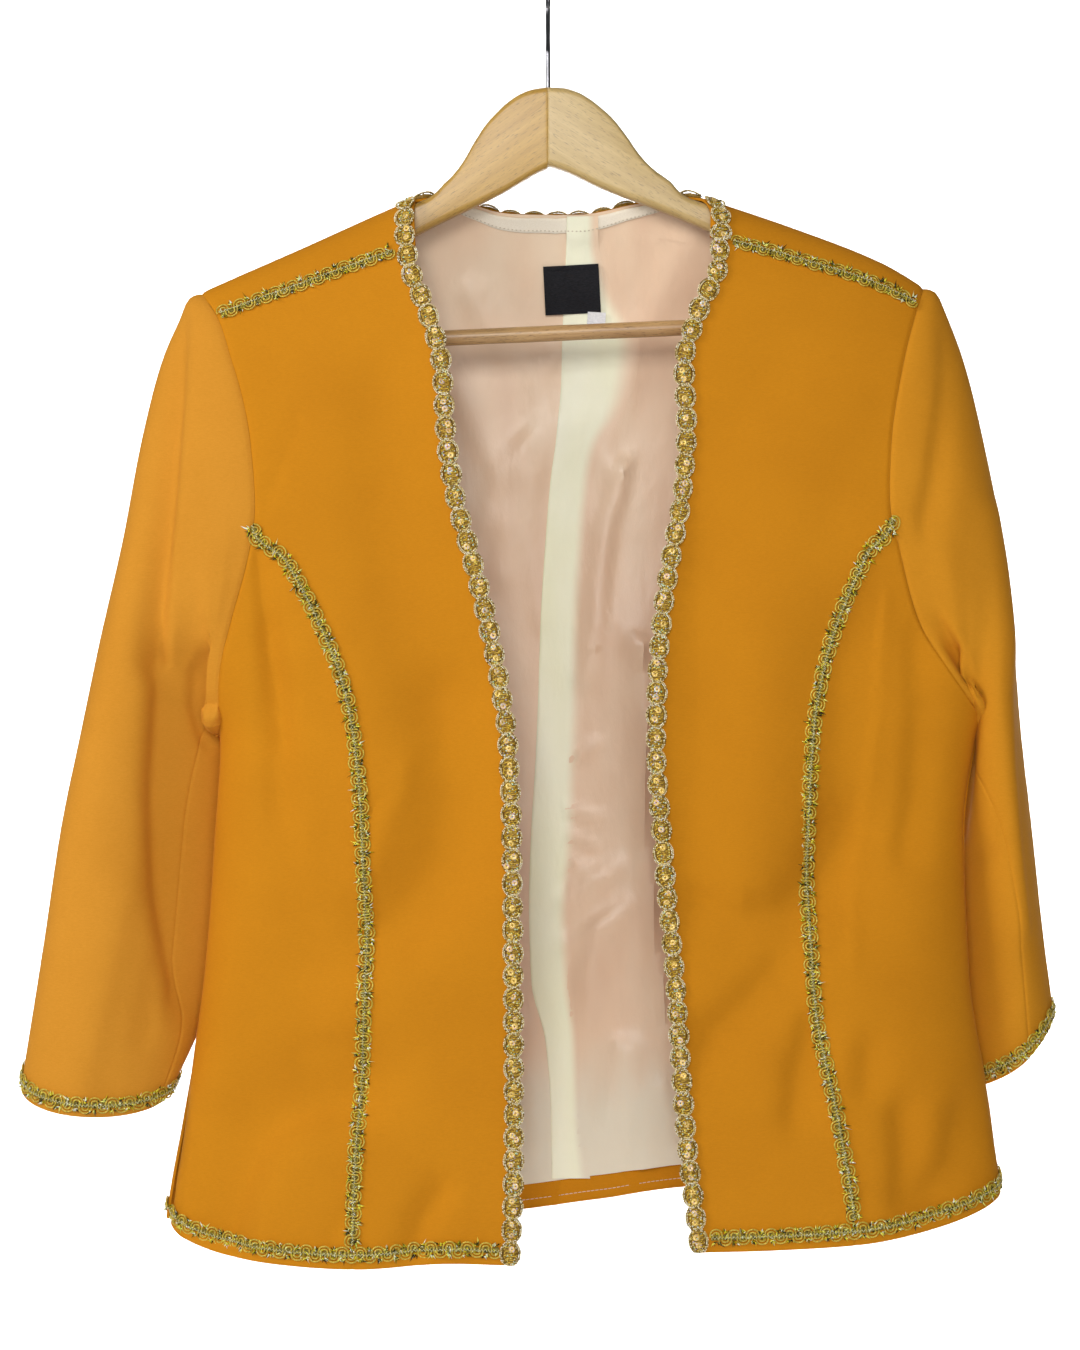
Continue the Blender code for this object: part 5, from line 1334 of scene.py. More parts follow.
LABEL_PIECE = make_ribbon("neck_label", LABEL, 2.1, 0.8, LABEL_BLACK)
TAB_PIECE = make_ribbon("plain_tab", TAB, 2.9, 0.3, TAB_WHITE)
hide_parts("label")
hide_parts("size_tab")
at = np.linspace(-STITCHED_HIGH, STITCHED_HIGH, 40)
points, ways = ribbon_place(LABEL, at, STITCHED_HIGH + 0 * at, 3.2 + 0 * at)
LABEL_STITCHES = stitches("label_stitches", points, ways, 2.0, 0.9, 0.35, LABEL_BLACK)
print("label and tab")

# %% [markdown]
# A braid follows a line on the cloth.  The Ribbon class measures that line and gives a point for
# any length along it, distance across it and height above it, so a braid can be drawn flat and
# then bent round the jacket.  A curve modifier could do the same, but it stretches detail on
# tight bends and would have to be applied anyway.

# %% Ribbons
class Ribbon:
    """A measured line on the cloth."""

    def __init__(self, points, ways, closed=False):
        if closed:
            points, ways = np.concatenate([points, points[:1]]), np.concatenate([ways, ways[:1]])
        gone = walked(points)
        self.length, self.closed = float(gone[-1]), closed
        self.marks = np.linspace(0, self.length, int(self.length / 1.5) + 2)
        self.points, self.ups = (follow(self.marks, gone, values) for values in (points, ways))
        self.ups = unit(self.ups)
        along = unit(np.gradient(self.points, axis=0))
        if closed:
            along[0] = along[-1] = unit(along[0] + along[-1])
        self.across = unit(np.cross(self.ups, along))

    def frame_at(self, s):
        s = s % self.length if self.closed else np.clip(s, 0, self.length)
        point, side, up = (follow(s, self.marks, values)
                           for values in (self.points, self.across, self.ups))
        return point, unit(side), unit(up)

    def at(self, s, across, height):
        point, side, up = self.frame_at(s)
        over = np.zeros_like(s) if self.closed else s - np.clip(s, 0, self.length)
        ahead = np.cross(side, up)
        return point + ahead * over[..., None] + side * across[..., None] + up * height[..., None]


print("a Ribbon has a length, points, ways across and ways up")

# %% [markdown]
# Cords, blades and beads are far too many to be objects of their own.  A Bundle gathers them into
# one mesh and keeps which finish each face has.

# %% Bundles
class Bundle:
    """Many small shapes gathered into one mesh."""

    def __init__(self):
        self.points, self.faces, self.which, self.count = [], [], [], 0

    def add(self, points, faces, which):
        self.points.append(np.asarray(points).reshape(-1, 3))
        self.faces += (np.asarray(faces) + self.count).tolist()
        self.which += [which] * len(faces)
        self.count += len(self.points[-1])

    def add_each(self, shapes, cells, which):
        """Many shapes of the same faces, each with its points in a row of shapes."""
        count, size = shapes.shape[0], shapes[0].size // 3
        faces = cells[None] + size * np.arange(count)[:, None, None]
        self.add(shapes, faces.reshape(-1, cells.shape[-1]), which)

    def piece(self, name, finishes, smooth_angle=0):
        points = np.concatenate(self.points)
        return new_piece(name, points, self.faces, finishes, self.which, smooth_angle)


def tube(bundle, path, ups, radius, sides, which, closed=False):
    """A round cord along a path."""
    if closed:
        ahead = np.roll(path, -1, axis=0) - np.roll(path, 1, axis=0)
    else:
        ahead = np.gradient(path, axis=0)
    ahead = unit(ahead)
    side = unit(np.cross(ups, ahead))
    ring = circles(side, np.cross(ahead, side), sides)
    points = path[:, None] + ring * np.broadcast_to(radius, (len(path),))[:, None, None]
    count = len(path)
    faces = quads_of(count + (1 if closed else 0), sides, True) % (count * sides)
    bundle.add(points, faces[:, ::-1], which)
    if not closed:
        end = np.arange(sides) + bundle.count - count * sides
        bundle.faces += [end.tolist(), (end + (count - 1) * sides)[::-1].tolist()]
        bundle.which += [which] * 2


def strip(bundle, line, s, half, edges, which):
    """A closed flat band along a line; edges are shares of its half width with their heights."""
    corners = [line.at(s, across * half, high + 0 * s) for across, high in edges]
    last = (len(s) - 1) * 4
    ends = [(0, 1, 2, 3), (last + 3, last + 2, last + 1, last)]
    bundle.add(np.stack(corners, 1), np.concatenate([quads_of(len(s), 4, True)[:, ::-1], ends]), which)


print("a Bundle takes tubes, strips and rows of small shapes")

# %% [markdown]
# The gimp lies on the shoulder seam, the princess seam, the hem and the cuff.  The sequin braid
# lies along the front edges and round the back neck.

# %% Lines for the braids
def front_spot(x, z):
    return turn_of(x, z), -reach_of(ridge(x) - z)


def ribbon_on(turn, reach):
    return Ribbon(*place(turn, reach))


SEQUIN_WIDTH, GIMP_WIDTH = 13.0, 12.0
EDGE_SLIP = 1.4
HEM_BRAID_UP, CUFF_BRAID_UP = 9.5, 8.0
NECK_OUT, NECK_DOWN, REACH_A_MM = 6.6, 4.5, 0.0063


def shoulder_line(hand):
    sign = HANDS[hand]
    z = float(ridge(sign * 95.0)) - SHOULDER_SEAM[hand][0]
    start = float(front_edge(z, hand)) + sign * (SEQUIN_WIDTH + 1.5)
    tip = settled(armhole(z - 40, hand), lambda x: armhole(seam_height(x, hand), hand))
    x = np.linspace(start, float(tip) - sign * 2.0, 160)
    return ribbon_on(*front_spot(x, seam_height(x, hand)))


def princess_line(hand):
    low = float(hem(princess(-830.0, hand), "front")) + HEM_BRAID_UP + GIMP_WIDTH / 2
    z = np.linspace(PRINCESS_TOP[hand] - 1.5, low, 500)
    return ribbon_on(*front_spot(princess(z, hand), z))


def hem_line(hand):
    sign, quarter = HANDS[hand], math.pi / 2
    level = float(hem(sign * 30.0, "front"))
    first = float(turn_of(front_edge(level, hand) + sign * (SEQUIN_WIDTH - 1.0), level))
    last = float(turn_of(CENTRE_BACK + sign * 0.2, level))
    ahead = abs(sign * quarter - first)
    gone = np.linspace(0, ahead + abs(last - sign * quarter), 900)
    turns, reaches = [], []
    for side, way, turn in (("front", -1, first + sign * gone[gone < ahead]),
                            ("back", 1, sign * quarter - sign * (gone[gone >= ahead] - ahead))):
        x = x_of(turn, lambda at: hem(at, side) + HEM_BRAID_UP)
        turns.append(turn)
        reaches.append(way * reach_of(ridge(x) - hem(x, side) - HEM_BRAID_UP))
    return ribbon_on(np.concatenate(turns), np.concatenate(reaches))


def cuff_line(hand):
    rings, ways, _ = SLEEVES[hand]
    up = np.cumsum(np.linalg.norm(np.diff(rings[::-1], axis=0), axis=2), axis=0)
    up = np.concatenate([np.zeros((1, up.shape[1])), up])[::-1]
    points, outs = (np.array([follow(CUFF_BRAID_UP, up[::-1, j], values[::-1, j])
                              for j in range(rings.shape[1])]) for values in (rings, ways))
    return Ribbon(points, unit(outs), closed=True)


def edge_line(hand):
    sign = HANDS[hand]
    low = float(hem(front_edge(-830.0, hand), "front")) + 0.8
    high = float(seam_height(sign * 100.0, hand))
    z = np.linspace(low, high, 600)
    turn, reach = front_spot(front_edge(z, hand) + sign * (SEQUIN_WIDTH / 2 - EDGE_SLIP), z)
    over = np.linspace(float(reach[-1]), -0.02, 60)[1:]
    x = of_hand(NECK, over, hand) + sign * (SEQUIN_WIDTH / 2 - EDGE_SLIP)
    return ribbon_on(np.concatenate([turn, turn_at(x, over)]), np.concatenate([reach, over]))


def neck_line():
    halves = []
    for hand, sign in HANDS.items():
        reach = np.linspace(0.05, NECK_REACH, 160)
        share = reach / NECK_REACH
        out = of_hand(NECK, reach, hand) + sign * NECK_OUT * (1 - share)
        deep = reach + NECK_DOWN * REACH_A_MM * share
        halves.append((turn_at(out, deep), deep))
    turn = np.concatenate([halves[0][0], halves[1][0][::-1][1:]])
    return ribbon_on(turn, np.concatenate([halves[0][1], halves[1][1][::-1][1:]]))


print("braid lines:", round(edge_line("left").length), "mm up the left front edge")

# %% [markdown]
# Tinsel is thin flat metal that is twisted into the gimp.  It stands out in tufts from the notches
# between the lobes, and some of it lies along the middle.  Each blade is a pointed sliver with
# four faces.

# %% Tinsel
TUFTS_A_NOTCH, TUFTS_A_PITCH = 9, 15
BLADE_FACES = np.array(((0, 1, 3), (1, 2, 3), (2, 0, 3), (0, 2, 1)))


def tinsel(bundle, line, count, pitch, chance):
    """Thin metallic blades in the notches between the lobes and down the middle."""
    notch = (np.repeat(np.arange(count), 2) + np.tile((0.25, 0.75), count)) * pitch
    s = np.repeat(notch, TUFTS_A_NOTCH) + chance.normal(0, 0.9, len(notch) * TUFTS_A_NOTCH)
    side = np.repeat(np.tile((-1.0, 1.0), count), TUFTS_A_NOTCH)
    t = side * (2.2 + chance.uniform(0, 1.6, len(s)))
    in_notches = len(s)
    middle = np.sort(chance.uniform(0, line.length, count * TUFTS_A_PITCH))
    s, t = np.concatenate([s, middle]), np.concatenate([t, chance.normal(0, 1.3, len(middle))])
    side = np.concatenate([side, chance.choice((-1.0, 1.0), len(middle))])
    total = len(s)
    turn = chance.normal(0, 0.85, total)
    rise = chance.uniform(0.05, 0.75, total)
    length = chance.uniform(1.3, 3.2, total) * np.where(chance.uniform(0, 1, total) > 0.84, 1.6, 1.0)
    length[in_notches:] *= 0.7
    way_s, way_t, way_h = np.sin(turn) * length, side * np.cos(turn) * length, rise * length
    base_h = 0.7 + chance.uniform(0, 0.9, total)
    wide = chance.uniform(0.32, 0.85, total)
    wide_s, wide_t = wide * np.cos(turn), wide * np.sin(turn) * side
    corners = [line.at(s + across * wide_s, t - across * wide_t, base_h + up)
               for across, up in ((-1, 0), (1, 0), (0, 0.35))]
    tip = line.at(s + way_s, t + way_t, base_h + way_h)
    bundle.add_each(np.stack(corners + [tip], 1), BLADE_FACES, 2)


print(2 * TUFTS_A_NOTCH + TUFTS_A_PITCH, "blades a pitch")

# %% [markdown]
# Gimp is two satin-covered cords that snake side by side, so every lobe shows an outer cord and
# an inner one.  The snake is a sine whose lobes are pushed together until they nearly close.
# A pale thread runs down the middle.  A seeded generator makes the lobes uneven in the same way on
# every run.

# %% Gimp braid
GIMP_PITCH, GIMP_LOBE, GIMP_CLOSE, GIMP_STEPS = 11.6, 4.0, 1.05, 24
LOBES_UNEVEN, CORD_RADIUS, CORD_APART, CORD_LIFT = 0.28, 0.55, 0.95, 0.35
GROUND_HALF, GROUND_STEP = 1.9, 1.3
GROUND_EDGES = ((-1, 0.1), (-0.85, 0.4), (0.85, 0.4), (1, 0.1))
ZIG_STEP, ZIG_OUT, ZIG_HIGH, ZIG_RADIUS = 1.1, 0.7, 2.0, 0.28


def gimp(name, line, node, seed):
    """One run of gimp along a line."""
    print(name, round(line.length), "mm")
    chance = np.random.default_rng(seed)
    bundle = Bundle()
    count = max(2, round(line.length / GIMP_PITCH))
    pitch = line.length / count
    phase = np.arange(GIMP_STEPS * count + (0 if line.closed else 1)) / GIMP_STEPS
    theta = 2 * math.pi * phase
    lobes = np.append(chance.normal(0, LOBES_UNEVEN, 2 * count + 1), 0)
    uneven = np.interp(phase * 2, np.arange(2 * count + 2), lobes)
    s = pitch * phase - GIMP_CLOSE * np.sin(2 * theta) + uneven * 0.6
    t = (GIMP_LOBE + uneven) * np.sin(theta)
    along_s, along_t = np.gradient(s), np.gradient(t)
    size = np.hypot(along_s, along_t)
    for side, lift in ((1, 0.0), (-1, 0.12)):
        cord_s, cord_t = s - side * CORD_APART * along_t / size, t + side * CORD_APART * along_s / size
        height = CORD_LIFT + CORD_RADIUS + lift + 0.25 * np.cos(theta) ** 2
        path = line.at(cord_s, cord_t, height)
        tube(bundle, path, line.frame_at(cord_s)[2], CORD_RADIUS, 6, 0, line.closed)
    under = np.arange(0, line.length, GROUND_STEP)
    strip(bundle, line, under, GROUND_HALF + chance.normal(0, 0.25, len(under)), GROUND_EDGES, 3)
    zig = np.arange(0, line.length, ZIG_STEP)
    sideways = np.where(np.arange(len(zig)) % 2, ZIG_OUT, -ZIG_OUT) + chance.normal(0, 0.2, len(zig))
    tube(bundle, line.at(zig, sideways, ZIG_HIGH + 0 * zig), line.frame_at(zig)[2], ZIG_RADIUS, 4, 1)
    tinsel(bundle, line, count, pitch, chance)
    made = bundle.piece(name, [GIMP_CORD, GIMP_THREAD, TINSEL, GIMP_GROUND])
    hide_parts(node)
    return made


GIMPS = {}
for number, hand in enumerate(HANDS):
    for kind, line in (("shoulder", shoulder_line), ("princess", princess_line), ("hem", hem_line),
                       ("cuff", cuff_line)):
        name = f"{kind}_gimp_{hand}"
        GIMPS[name] = gimp(name, line(hand), f"braid_{kind}_{hand}", 11 * number + len(GIMPS))
print("gimp:", sum(len(piece.data.polygons) for piece in GIMPS.values()), "faces")

# %% [markdown]
# Inside every oval of the sequin braid a gold crochet thread loops from side to side among chips
# of foil, and it holds one or two holographic sequins, which are thin rings cupped towards their
# hole.  Scattering instances would be quicker, but every chip needs its own height and slant.

# %% Inside the ovals
CROCHET_STEPS, CROCHET_LOOPS, CROCHET_HALF, CROCHET_RADIUS = 60, 6, 4.1, 0.42
INSIDE_BULGE, CHIPS, CHIPS_HALF = 0.45, 64, 4.6
SEQUIN_RADIUS, HOLE_RADIUS, SEQUIN_SIDES, SEQUIN_HIGH, SEQUIN_LEAN = 2.15, 0.45, 10, 2.1, 0.30


def swelling(phase, power):
    """0 where the ropes cross and 1 in the middle of each oval."""
    return np.abs(np.sin(math.pi * phase)) ** power


def crochet(bundle, line, count, pitch):
    """A gold thread that loops from side to side inside the ovals."""
    phase = np.arange(CROCHET_STEPS * count) / CROCHET_STEPS
    loop = 2 * math.pi * phase * CROCHET_LOOPS
    s = pitch * phase + 1.2 * np.sin(loop)
    wander = CROCHET_HALF * np.cos(loop) + 0.5 * np.sin(loop * 2.5 + 1)
    wide = 0.25 + 0.75 * swelling(phase, INSIDE_BULGE)
    path = line.at(s, wide * wander, 1.3 + 0.4 * np.sin(loop * 2))
    tube(bundle, path, line.frame_at(s)[2], CROCHET_RADIUS, 3, 1)


def chips(bundle, line, count, pitch, chance):
    """Chips of foil between the loops; their near-white, aqua and violet colours are painted glints."""
    total = CHIPS * count
    s = chance.uniform(0.4, line.length - 0.4, total)
    wide = 0.3 + 0.7 * swelling(s / pitch, INSIDE_BULGE)
    t = chance.uniform(-CHIPS_HALF, CHIPS_HALF, total) * wide
    base_h = 1.2 + chance.uniform(0, 1.0, total)
    spin, wide = chance.uniform(0, 2 * math.pi, total), chance.uniform(0.4, 0.95, total)
    corners = []
    for third in range(3):
        angle = spin + third * 2 * math.pi / 3
        high = base_h + chance.uniform(-0.2, 0.3, total)
        corners.append(line.at(s + wide * np.cos(angle), t + wide * np.sin(angle), high))
    corners.append(line.at(s, t, base_h + 0.35))
    bundle.add_each(np.stack(corners, 1), BLADE_FACES, 5)


def sequins(bundle, line, count, pitch, chance):
    """Small cupped rings, one or two in each oval."""
    spots = []
    for k in range(count):
        for share in ((0.31, 0.70) if chance.uniform() > 0.55 else (chance.uniform(0.35, 0.7),)):
            spots.append(((k + share) * pitch + chance.normal(0, 0.8), chance.normal(0, 1.2)))
    s, t = np.array(spots).T
    point = line.at(s, t, SEQUIN_HIGH + chance.uniform(0, 0.4, len(s)))
    _, side, up = line.frame_at(s)
    ahead = np.cross(side, up)
    lean_a, lean_b = (chance.normal(0, SEQUIN_LEAN, (len(s), 1)) for _ in range(2))
    up = unit(up + ahead * lean_a + side * lean_b)
    side = unit(side - up * (side * up).sum(-1, keepdims=True))
    around = circles(np.cross(side, up), side, SEQUIN_SIDES)
    sections = ((SEQUIN_RADIUS, 0.10), (HOLE_RADIUS, -0.12), (HOLE_RADIUS, -0.26), (SEQUIN_RADIUS, 0.0))
    rings = [point[:, None] + around * radius + up[:, None] * lift for radius, lift in sections]
    cells = quads_of(len(rings) + 1, SEQUIN_SIDES, True) % (len(rings) * SEQUIN_SIDES)
    bundle.add_each(np.stack(rings, 1), cells, 3)


print(CHIPS, "chips and", CROCHET_LOOPS, "loops an oval")

# %% [markdown]
# The ovals are made by two champagne ropes that swing apart and cross between them.  Each rope
# carries two rows of tiny beads on a dark cord, over a dark base.

# %% Sequin braid
OVAL_PITCH, OVAL_HALF = 14.6, 5.9
ROPE_STEPS, ROPE_BULGE, ROPE_HIGH, ROPE_OVER, ROPE_UNEVEN = 34, 0.36, 1.55, 0.55, 0.22
BASE_EDGES = ((-5.4, 0.3), (-4.5, 1.25), (4.5, 1.25), (5.4, 0.3))
ROPE_RADIUS, BEAD_STEP, BEAD_OFF, BEAD_RADIUS = 0.50, 1.04, 0.46, 0.49
GOLDEN = (1 + math.sqrt(5)) / 2
BEAD_POINTS = unit(np.array([(0, a, b * GOLDEN) for a in (-1, 1) for b in (-1, 1)]
                            + [(a, b * GOLDEN, 0) for a in (-1, 1) for b in (-1, 1)]
                            + [(b * GOLDEN, 0, a) for a in (-1, 1) for b in (-1, 1)]))


def bead_faces():
    """The 20 triangles of a ball with 12 points."""
    faces = []
    for trio in itertools.combinations(range(12), 3):
        a, b, c = BEAD_POINTS[list(trio)]
        if max(math.dist(a, b), math.dist(b, c), math.dist(c, a)) < 1.1:
            faces.append(trio if np.dot(np.cross(b - a, c - a), a + b + c) > 0 else trio[::-1])
    return np.array(faces)


BEAD_FACES = bead_faces()


def sequin_braid(name, line, node, seed):
    """One run of sequin braid along a line."""
    print(name, round(line.length), "mm")
    chance = np.random.default_rng(seed)
    bundle = Bundle()
    count = round(line.length / OVAL_PITCH)
    pitch = line.length / count
    base = np.linspace(0, line.length, count * 6 + 1)
    strip(bundle, line, base, 0.62 + 0.38 * swelling(base / pitch, 1), BASE_EDGES, 2)
    phase = np.linspace(0, count, ROPE_STEPS * count + 1)
    wobble = np.interp(phase, np.arange(count + 1), chance.normal(0, ROPE_UNEVEN, count + 1))
    for rope in (1, -1):
        swing = np.sign(np.sin(math.pi * phase)) * swelling(phase, ROPE_BULGE)
        s, t = pitch * phase, rope * (OVAL_HALF + wobble) * swing
        over = ROPE_OVER * rope * np.cos(math.pi * phase)
        centre = line.at(s, t, ROPE_HIGH + over * np.exp(-(t / 2.2) ** 2))
        ahead = unit(np.gradient(centre, axis=0))
        side = unit(np.cross(line.frame_at(s)[2], ahead))
        out = np.cross(ahead, side)
        gone = walked(centre)
        even = np.linspace(0, gone[-1], int(gone[-1] / 0.75))
        tube(bundle, follow(even, gone, centre), follow(even, gone, out), ROPE_RADIUS, 4, 0)
        for row, start in ((-1, 0.25), (1, 0.75)):
            at = BEAD_STEP * (np.arange(int(gone[-1] / BEAD_STEP) - 1) + start)
            middles = (follow(at, gone, centre) + row * BEAD_OFF * follow(at, gone, side)
                       + 0.25 * follow(at, gone, out))
            sizes = BEAD_RADIUS * chance.uniform(0.88, 1.1, (len(at), 1, 1))
            bundle.add_each(middles[:, None] + sizes * BEAD_POINTS[None], BEAD_FACES, 4)
    crochet(bundle, line, count, pitch)
    chips(bundle, line, count, pitch, chance)
    sequins(bundle, line, count, pitch, chance)
    made = bundle.piece(name, [BEAD_CORD, CROCHET, BRAID_BASE, SEQUIN_FILM, BEADS, GOLD_CHIPS])
    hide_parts(node)
    return made


SEQUIN_BRAIDS = {}
for hand in HANDS:
    SEQUIN_BRAIDS[hand] = sequin_braid("front_edge_sequins_" + hand, edge_line(hand),
                                       "sequin_edge_" + hand, 40 + len(hand))
SEQUIN_BRAIDS["neck"] = sequin_braid("back_neck_sequins", neck_line(), "sequin_neck", 51)
print("sequin braid:", sum(len(piece.data.polygons) for piece in SEQUIN_BRAIDS.values()), "faces")

# %% [markdown]
# The hanger is two arms of beech, cut to a mitre in the middle, and a bar for trousers.  An arm is
# lofted through upright sections with rounded corners, from the outline that the solids have.

# %% Wooden arms
WOOD_TILT, NECK_OF_WOOD = 2.5, -75.0
BAR_RADIUS, BAR_HALF, BAR_Z = 6.0, 186.0, -234.5
ARM_TOP = [(0, -75), (10, -76), (19, -79), (27, -84), (34, -90), (41, -97), (49, -108), (58, -122),
           (66, -131), (76, -139), (86, -148)]
ARM_UNDER = [(0, -126.5), (8, -129.5), (17, -134), (31, -141.5), (67, -157), (97, -171), (140, -195),
             (165, -215), (176, -231), (190, -245), (203, -247), (212, -240), (219, -228)]
ARM_THICK = [(0, 13.0), (130, 13.0), (175, 12.0), (205, 10.5), (215, 8.0), (219, 5.0)]
TOP_BELOW_CLOTH = (2.0 + 1.2) * 1.12
CORNER, MITRE_DEEP, MITRE_SOFT = 4.2, 0.3, 0.4


def tilted(x, z):
    """A point of the level hanger as it hangs."""
    angle, down = math.radians(WOOD_TILT), z - NECK_OF_WOOD
    return (x * math.cos(angle) - down * math.sin(angle),
            NECK_OF_WOOD + x * math.sin(angle) + down * math.cos(angle))


def make_arm(hand, finish):
    sign = HANDS[hand]
    tops, unders = ([tilted(sign * x, z) for x, z in line] for line in (ARM_TOP, ARM_UNDER))
    out = np.concatenate([[0.02, 0.35, 1.0, 2.0], np.linspace(4, 214, 120), [216, 217.5, 218.6, 219.2]])
    x = sign * out
    neck = abs(float(of_hand(NECK, 0.0, hand)))
    share = np.clip((out - neck + 19) / 12, 0, 1)
    top = mix(smooth(tops, 1, x), ridge(x) - TOP_BELOW_CLOTH, share)
    under, thick = smooth(unders, 1, x), smooth(ARM_THICK, 1, out)
    mitre = MITRE_DEEP * np.exp(-out / MITRE_SOFT)
    middle, half_high, half_thick = (top + under) / 2, (top - under) / 2 - mitre, thick / 2 - mitre
    rounding = np.minimum(CORNER, np.minimum(half_high, half_thick) * 0.9)
    rings = []
    for start, y_sign, z_sign in ((0, 1, 1), (90, -1, 1), (180, -1, -1), (270, 1, -1)):
        for step in range(0, 91, 15):
            angle = math.radians(start + step)
            y = y_sign * (half_thick - rounding) + rounding * math.cos(angle)
            z = middle + z_sign * (half_high - rounding) + rounding * math.sin(angle)
            rings.append(np.stack([x, y, z], -1))
    points = np.stack(rings, 1)
    count, around = points.shape[:2]
    end = np.arange(around)
    faces = quads_of(count, around, True).tolist()
    faces += [end[::-1].tolist(), (end + (count - 1) * around).tolist()]
    if sign < 0:
        faces = [face[::-1] for face in faces]
    made = new_piece("beech_arm_" + hand, points.reshape(-1, 3), faces, [finish])
    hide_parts("hanger_arm_" + hand)
    return made


ARMS = {"left": make_arm("left", BEECH_LEFT), "right": make_arm("right", BEECH_RIGHT)}
print("arms", [len(arm.data.polygons) for arm in ARMS.values()])

# %% [markdown]
# The bar is turned from one stick, so it is not quite even.  The hook is chromed wire: straight
# out of the wood, then round over the rail.  Both are cords along a path, with few sections where
# they are straight and many where they bend.

# %% Bar and hook
def make_bar():
    left, right = tilted(-BAR_HALF, BAR_Z), tilted(BAR_HALF, BAR_Z)
    share = np.linspace(0, 1, 90)
    path = np.stack([mix(left[0], right[0], share), 0 * share, mix(left[1], right[1], share)], -1)
    bundle = Bundle()
    radius = BAR_RADIUS - 0.85 + 0.05 * np.sin(share * 31) + 0.03 * np.sin(share * 77)
    radius[[0, -1]] *= 0.9
    tube(bundle, path, np.tile((0.0, 1.0, 0.0), (len(path), 1)), radius, 32, 0)
    made = bundle.piece("beech_bar", [BEECH_BAR], 50)
    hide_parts("hanger_bar")
    return made


WIRE_RADIUS, HOOK_RADIUS, HOOK_RISE = 1.55, 20.0, 22.0


def make_hook():
    centre = -(HOOK_RADIUS - WIRE_RADIUS)
    arc = np.radians(np.linspace(-38, 205, 110))
    y, z = HOOK_RADIUS * np.cos(arc), centre + HOOK_RADIUS * np.sin(arc)
    base, knee = NECK_OF_WOOD + 0.3, z[0] - HOOK_RISE
    t = np.linspace(0, 1, 26)[1:-1]
    rise_y, rise_z = y[0] * t * t * (3 - 2 * t), mix(knee, z[0], t)
    y = np.concatenate([[0, 0, 0], rise_y, y])
    z = np.concatenate([[base, mix(base, knee, 0.5), knee], rise_z, z])
    path = np.stack([0 * y, y, z], -1)
    radius = np.full(len(path), WIRE_RADIUS)
    radius[-1] *= 0.55
    radius[-2] *= 0.93
    bundle = Bundle()
    tube(bundle, path, np.tile((1.0, 0.0, 0.0), (len(path), 1)), radius, 20, 0)
    made = bundle.piece("chromed_hook", [CHROME], 50)
    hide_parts("hanger_hook")
    return made


BAR, HOOK = make_bar(), make_hook()
print("bar and hook")

# %% [markdown]
# Each piece is listed under the name of the material it takes, and every piece of cloth prints
# the area it was cut to: half the surface of its thin wall.

# %% Slots and cuts
def cut_of(piece):
    """Half the surface of a thin wall, which is the cloth's area."""
    mesh = piece.data
    mesh.calc_loop_triangles()
    points = np.empty(len(mesh.vertices) * 3)
    mesh.vertices.foreach_get("co", points)
    points = points.reshape(-1, 3)
    corners = np.empty(len(mesh.loop_triangles) * 3, np.int32)
    mesh.loop_triangles.foreach_get("vertices", corners)
    a, b, c = (points[corners[k::3]] for k in range(3))
    return float(np.linalg.norm(np.cross(b - a, c - a), axis=1).sum()) / 4


SLOTS = {
    "peach_satin": list(LININGS.values()), "cream_satin": [PLEAT_PIECE],
    "facing": [FACING, FACING_STITCHES], "label": [LABEL_PIECE, LABEL_STITCHES],
    "size_tab": [TAB_PIECE], "gimp_braid": list(GIMPS.values()),
    "sequin_braid": list(SEQUIN_BRAIDS.values()), "beech": [*ARMS.values(), BAR], "wire": [HOOK],
    "golden_crepe": [piece for pieces in PANELS.values() for piece in pieces] + [HEM_STITCHES],
}
for hand in HANDS:
    front, flank, back, upper, under = PANELS[hand]
    trims = [GIMPS["princess_gimp_" + hand], GIMPS["shoulder_gimp_" + hand], SEQUIN_BRAIDS[hand]]
    GIMPS["hem_gimp_" + hand]
    GIMPS["cuff_gimp_" + hand]
for pieces in (*PANELS.values(), LININGS.values(), (PLEAT_PIECE, FACING, LABEL_PIECE, TAB_PIECE)):
    for piece in pieces:
        print(piece.name, "shows", round(cut_of(piece), 4), "square metres")

# %% [markdown]
# The jacket hangs in a plain pale room.  Floor and wall are one sheet with a wide curve between
# them, so no line shows behind the cloth.

# %% Backdrop
ROOM_BACK, ROOM_FRONT, ROOM_HALF_WIDE = 3.7, -4.5, 6.0
FLOOR, CEILING, CURVE = -1.7, 4.0, 1.2


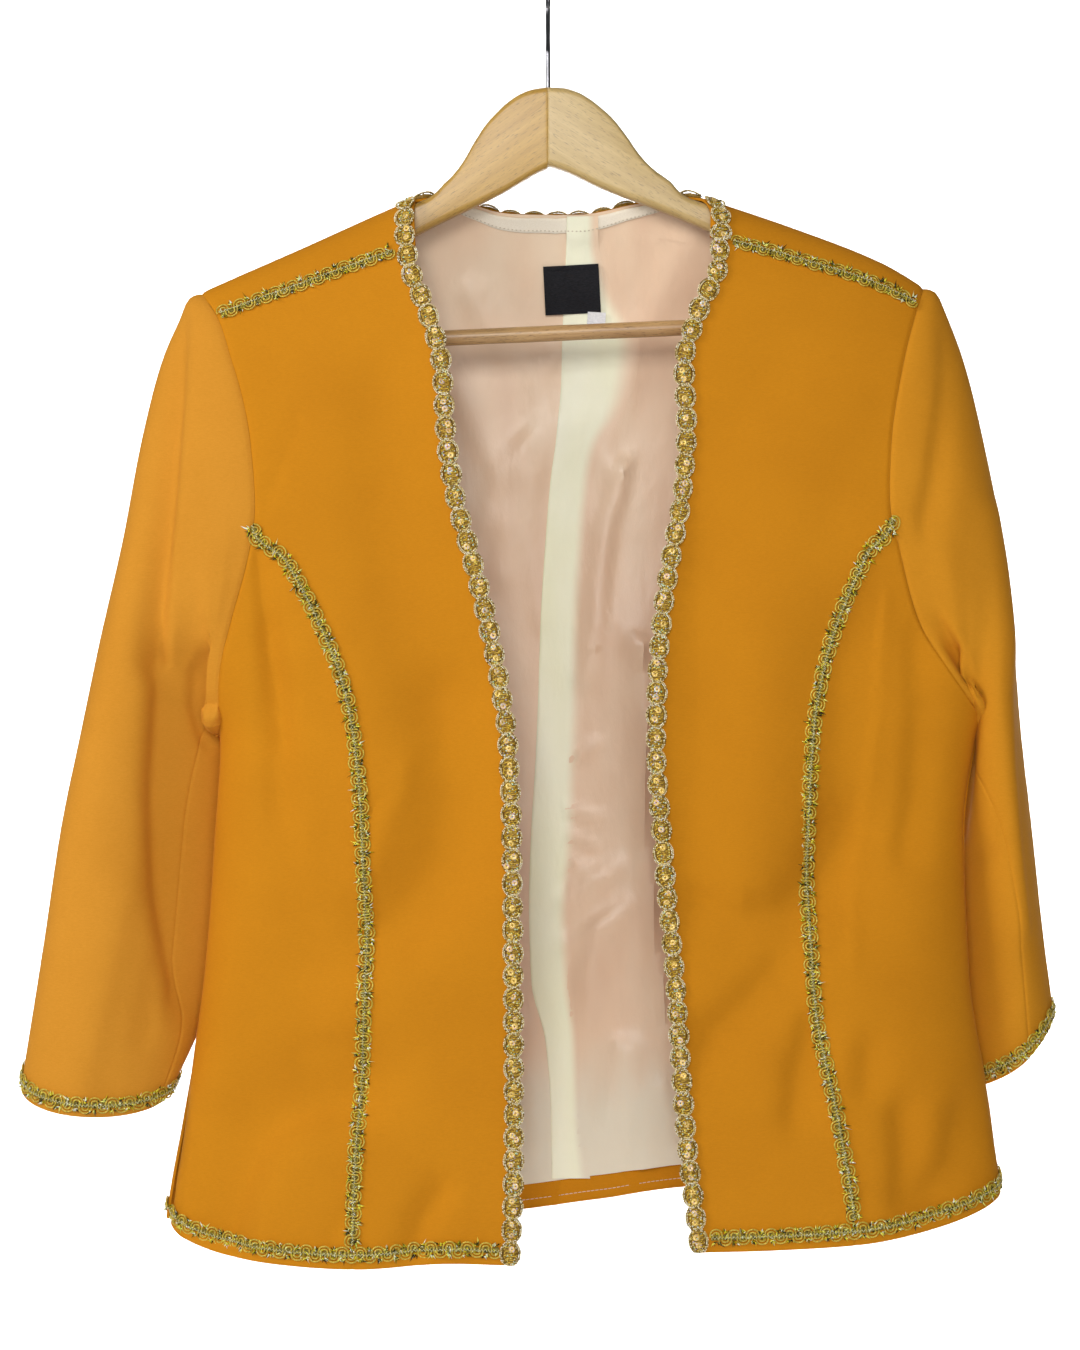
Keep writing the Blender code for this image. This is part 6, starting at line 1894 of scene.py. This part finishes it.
def make_backdrop():
    bend = np.radians(np.linspace(0, 90, 24))
    y = np.concatenate([[ROOM_FRONT], ROOM_BACK - CURVE + CURVE * np.sin(bend), [ROOM_BACK]])
    z = np.concatenate([[FLOOR], FLOOR + CURVE - CURVE * np.cos(bend), [CEILING]])
    rows = np.stack([np.stack([0 * y + x, y, z], -1) for x in (-ROOM_HALF_WIDE, ROOM_HALF_WIDE)], 1)
    made = Finish("pale_backdrop")
    colour = made.ramp(made.noise(3, 2, 0.5), (0.3, (0.90, 0.90, 0.90)), (0.7, (0.93, 0.93, 0.93)))
    mesh = bpy.data.meshes.new("backdrop")
    mesh.from_pydata(rows.reshape(-1, 3).tolist(), [], quads_of(len(rows), 2).tolist())
    mesh.materials.append(made.principled(Base_Color=colour, Roughness=0.9))
    mesh.shade_smooth()
    sheet = stand("backdrop", mesh)


make_backdrop()
print("backdrop")

# %% [markdown]
# Three soft panels stand in front.  The key is nearly straight ahead, so it reaches the lining; a
# second one rakes over the cloth from the left and draws its folds, and a weak one on the right
# fills them.  Two more light the wall only, so that it stays white behind the cloth.

# %% Light
def panel_light(name, at, towards, size, watts, tint=(1, 1, 1)):
    """A rectangular lamp that points somewhere."""
    lamp = bpy.data.lights.new(name, "AREA")
    lamp.shape, lamp.size, lamp.size_y = "RECTANGLE", *size
    lamp.energy, lamp.color = watts, tint
    made = stand(name, lamp)
    made.location = at
    made.rotation_euler = (Vector(towards) - Vector(at)).to_track_quat("-Z", "Y").to_euler()


CHEST = (0, 0, -0.45)
panel_light("key", (-0.35, -2.95, 0.6), CHEST, (1.0, 1.0), 41, (1.0, 0.995, 0.98))
panel_light("rake", (-2.45, -1.4, 0.8), CHEST, (1.1, 1.1), 42, (1.0, 0.985, 0.96))
panel_light("fill", (0.6, -2.9, -0.2), CHEST, (0.9, 0.9), 13)
for name, sign in (("wall_left", -1), ("wall_right", 1)):
    panel_light(name, (sign * 1.9, 2.0, -0.2), (sign * 0.4, ROOM_BACK, -0.6), (0.6, 2.0), 95)
world = bpy.data.worlds.new("studio_room")
world.use_nodes = True
room = world.node_tree.nodes["Background"].inputs
room["Color"].default_value = (1, 1, 1, 1)
room["Strength"].default_value = 0.14
bpy.context.scene.world = world
bpy.context.scene.view_settings.view_transform = "Standard"
print("five lamps and a dim room")
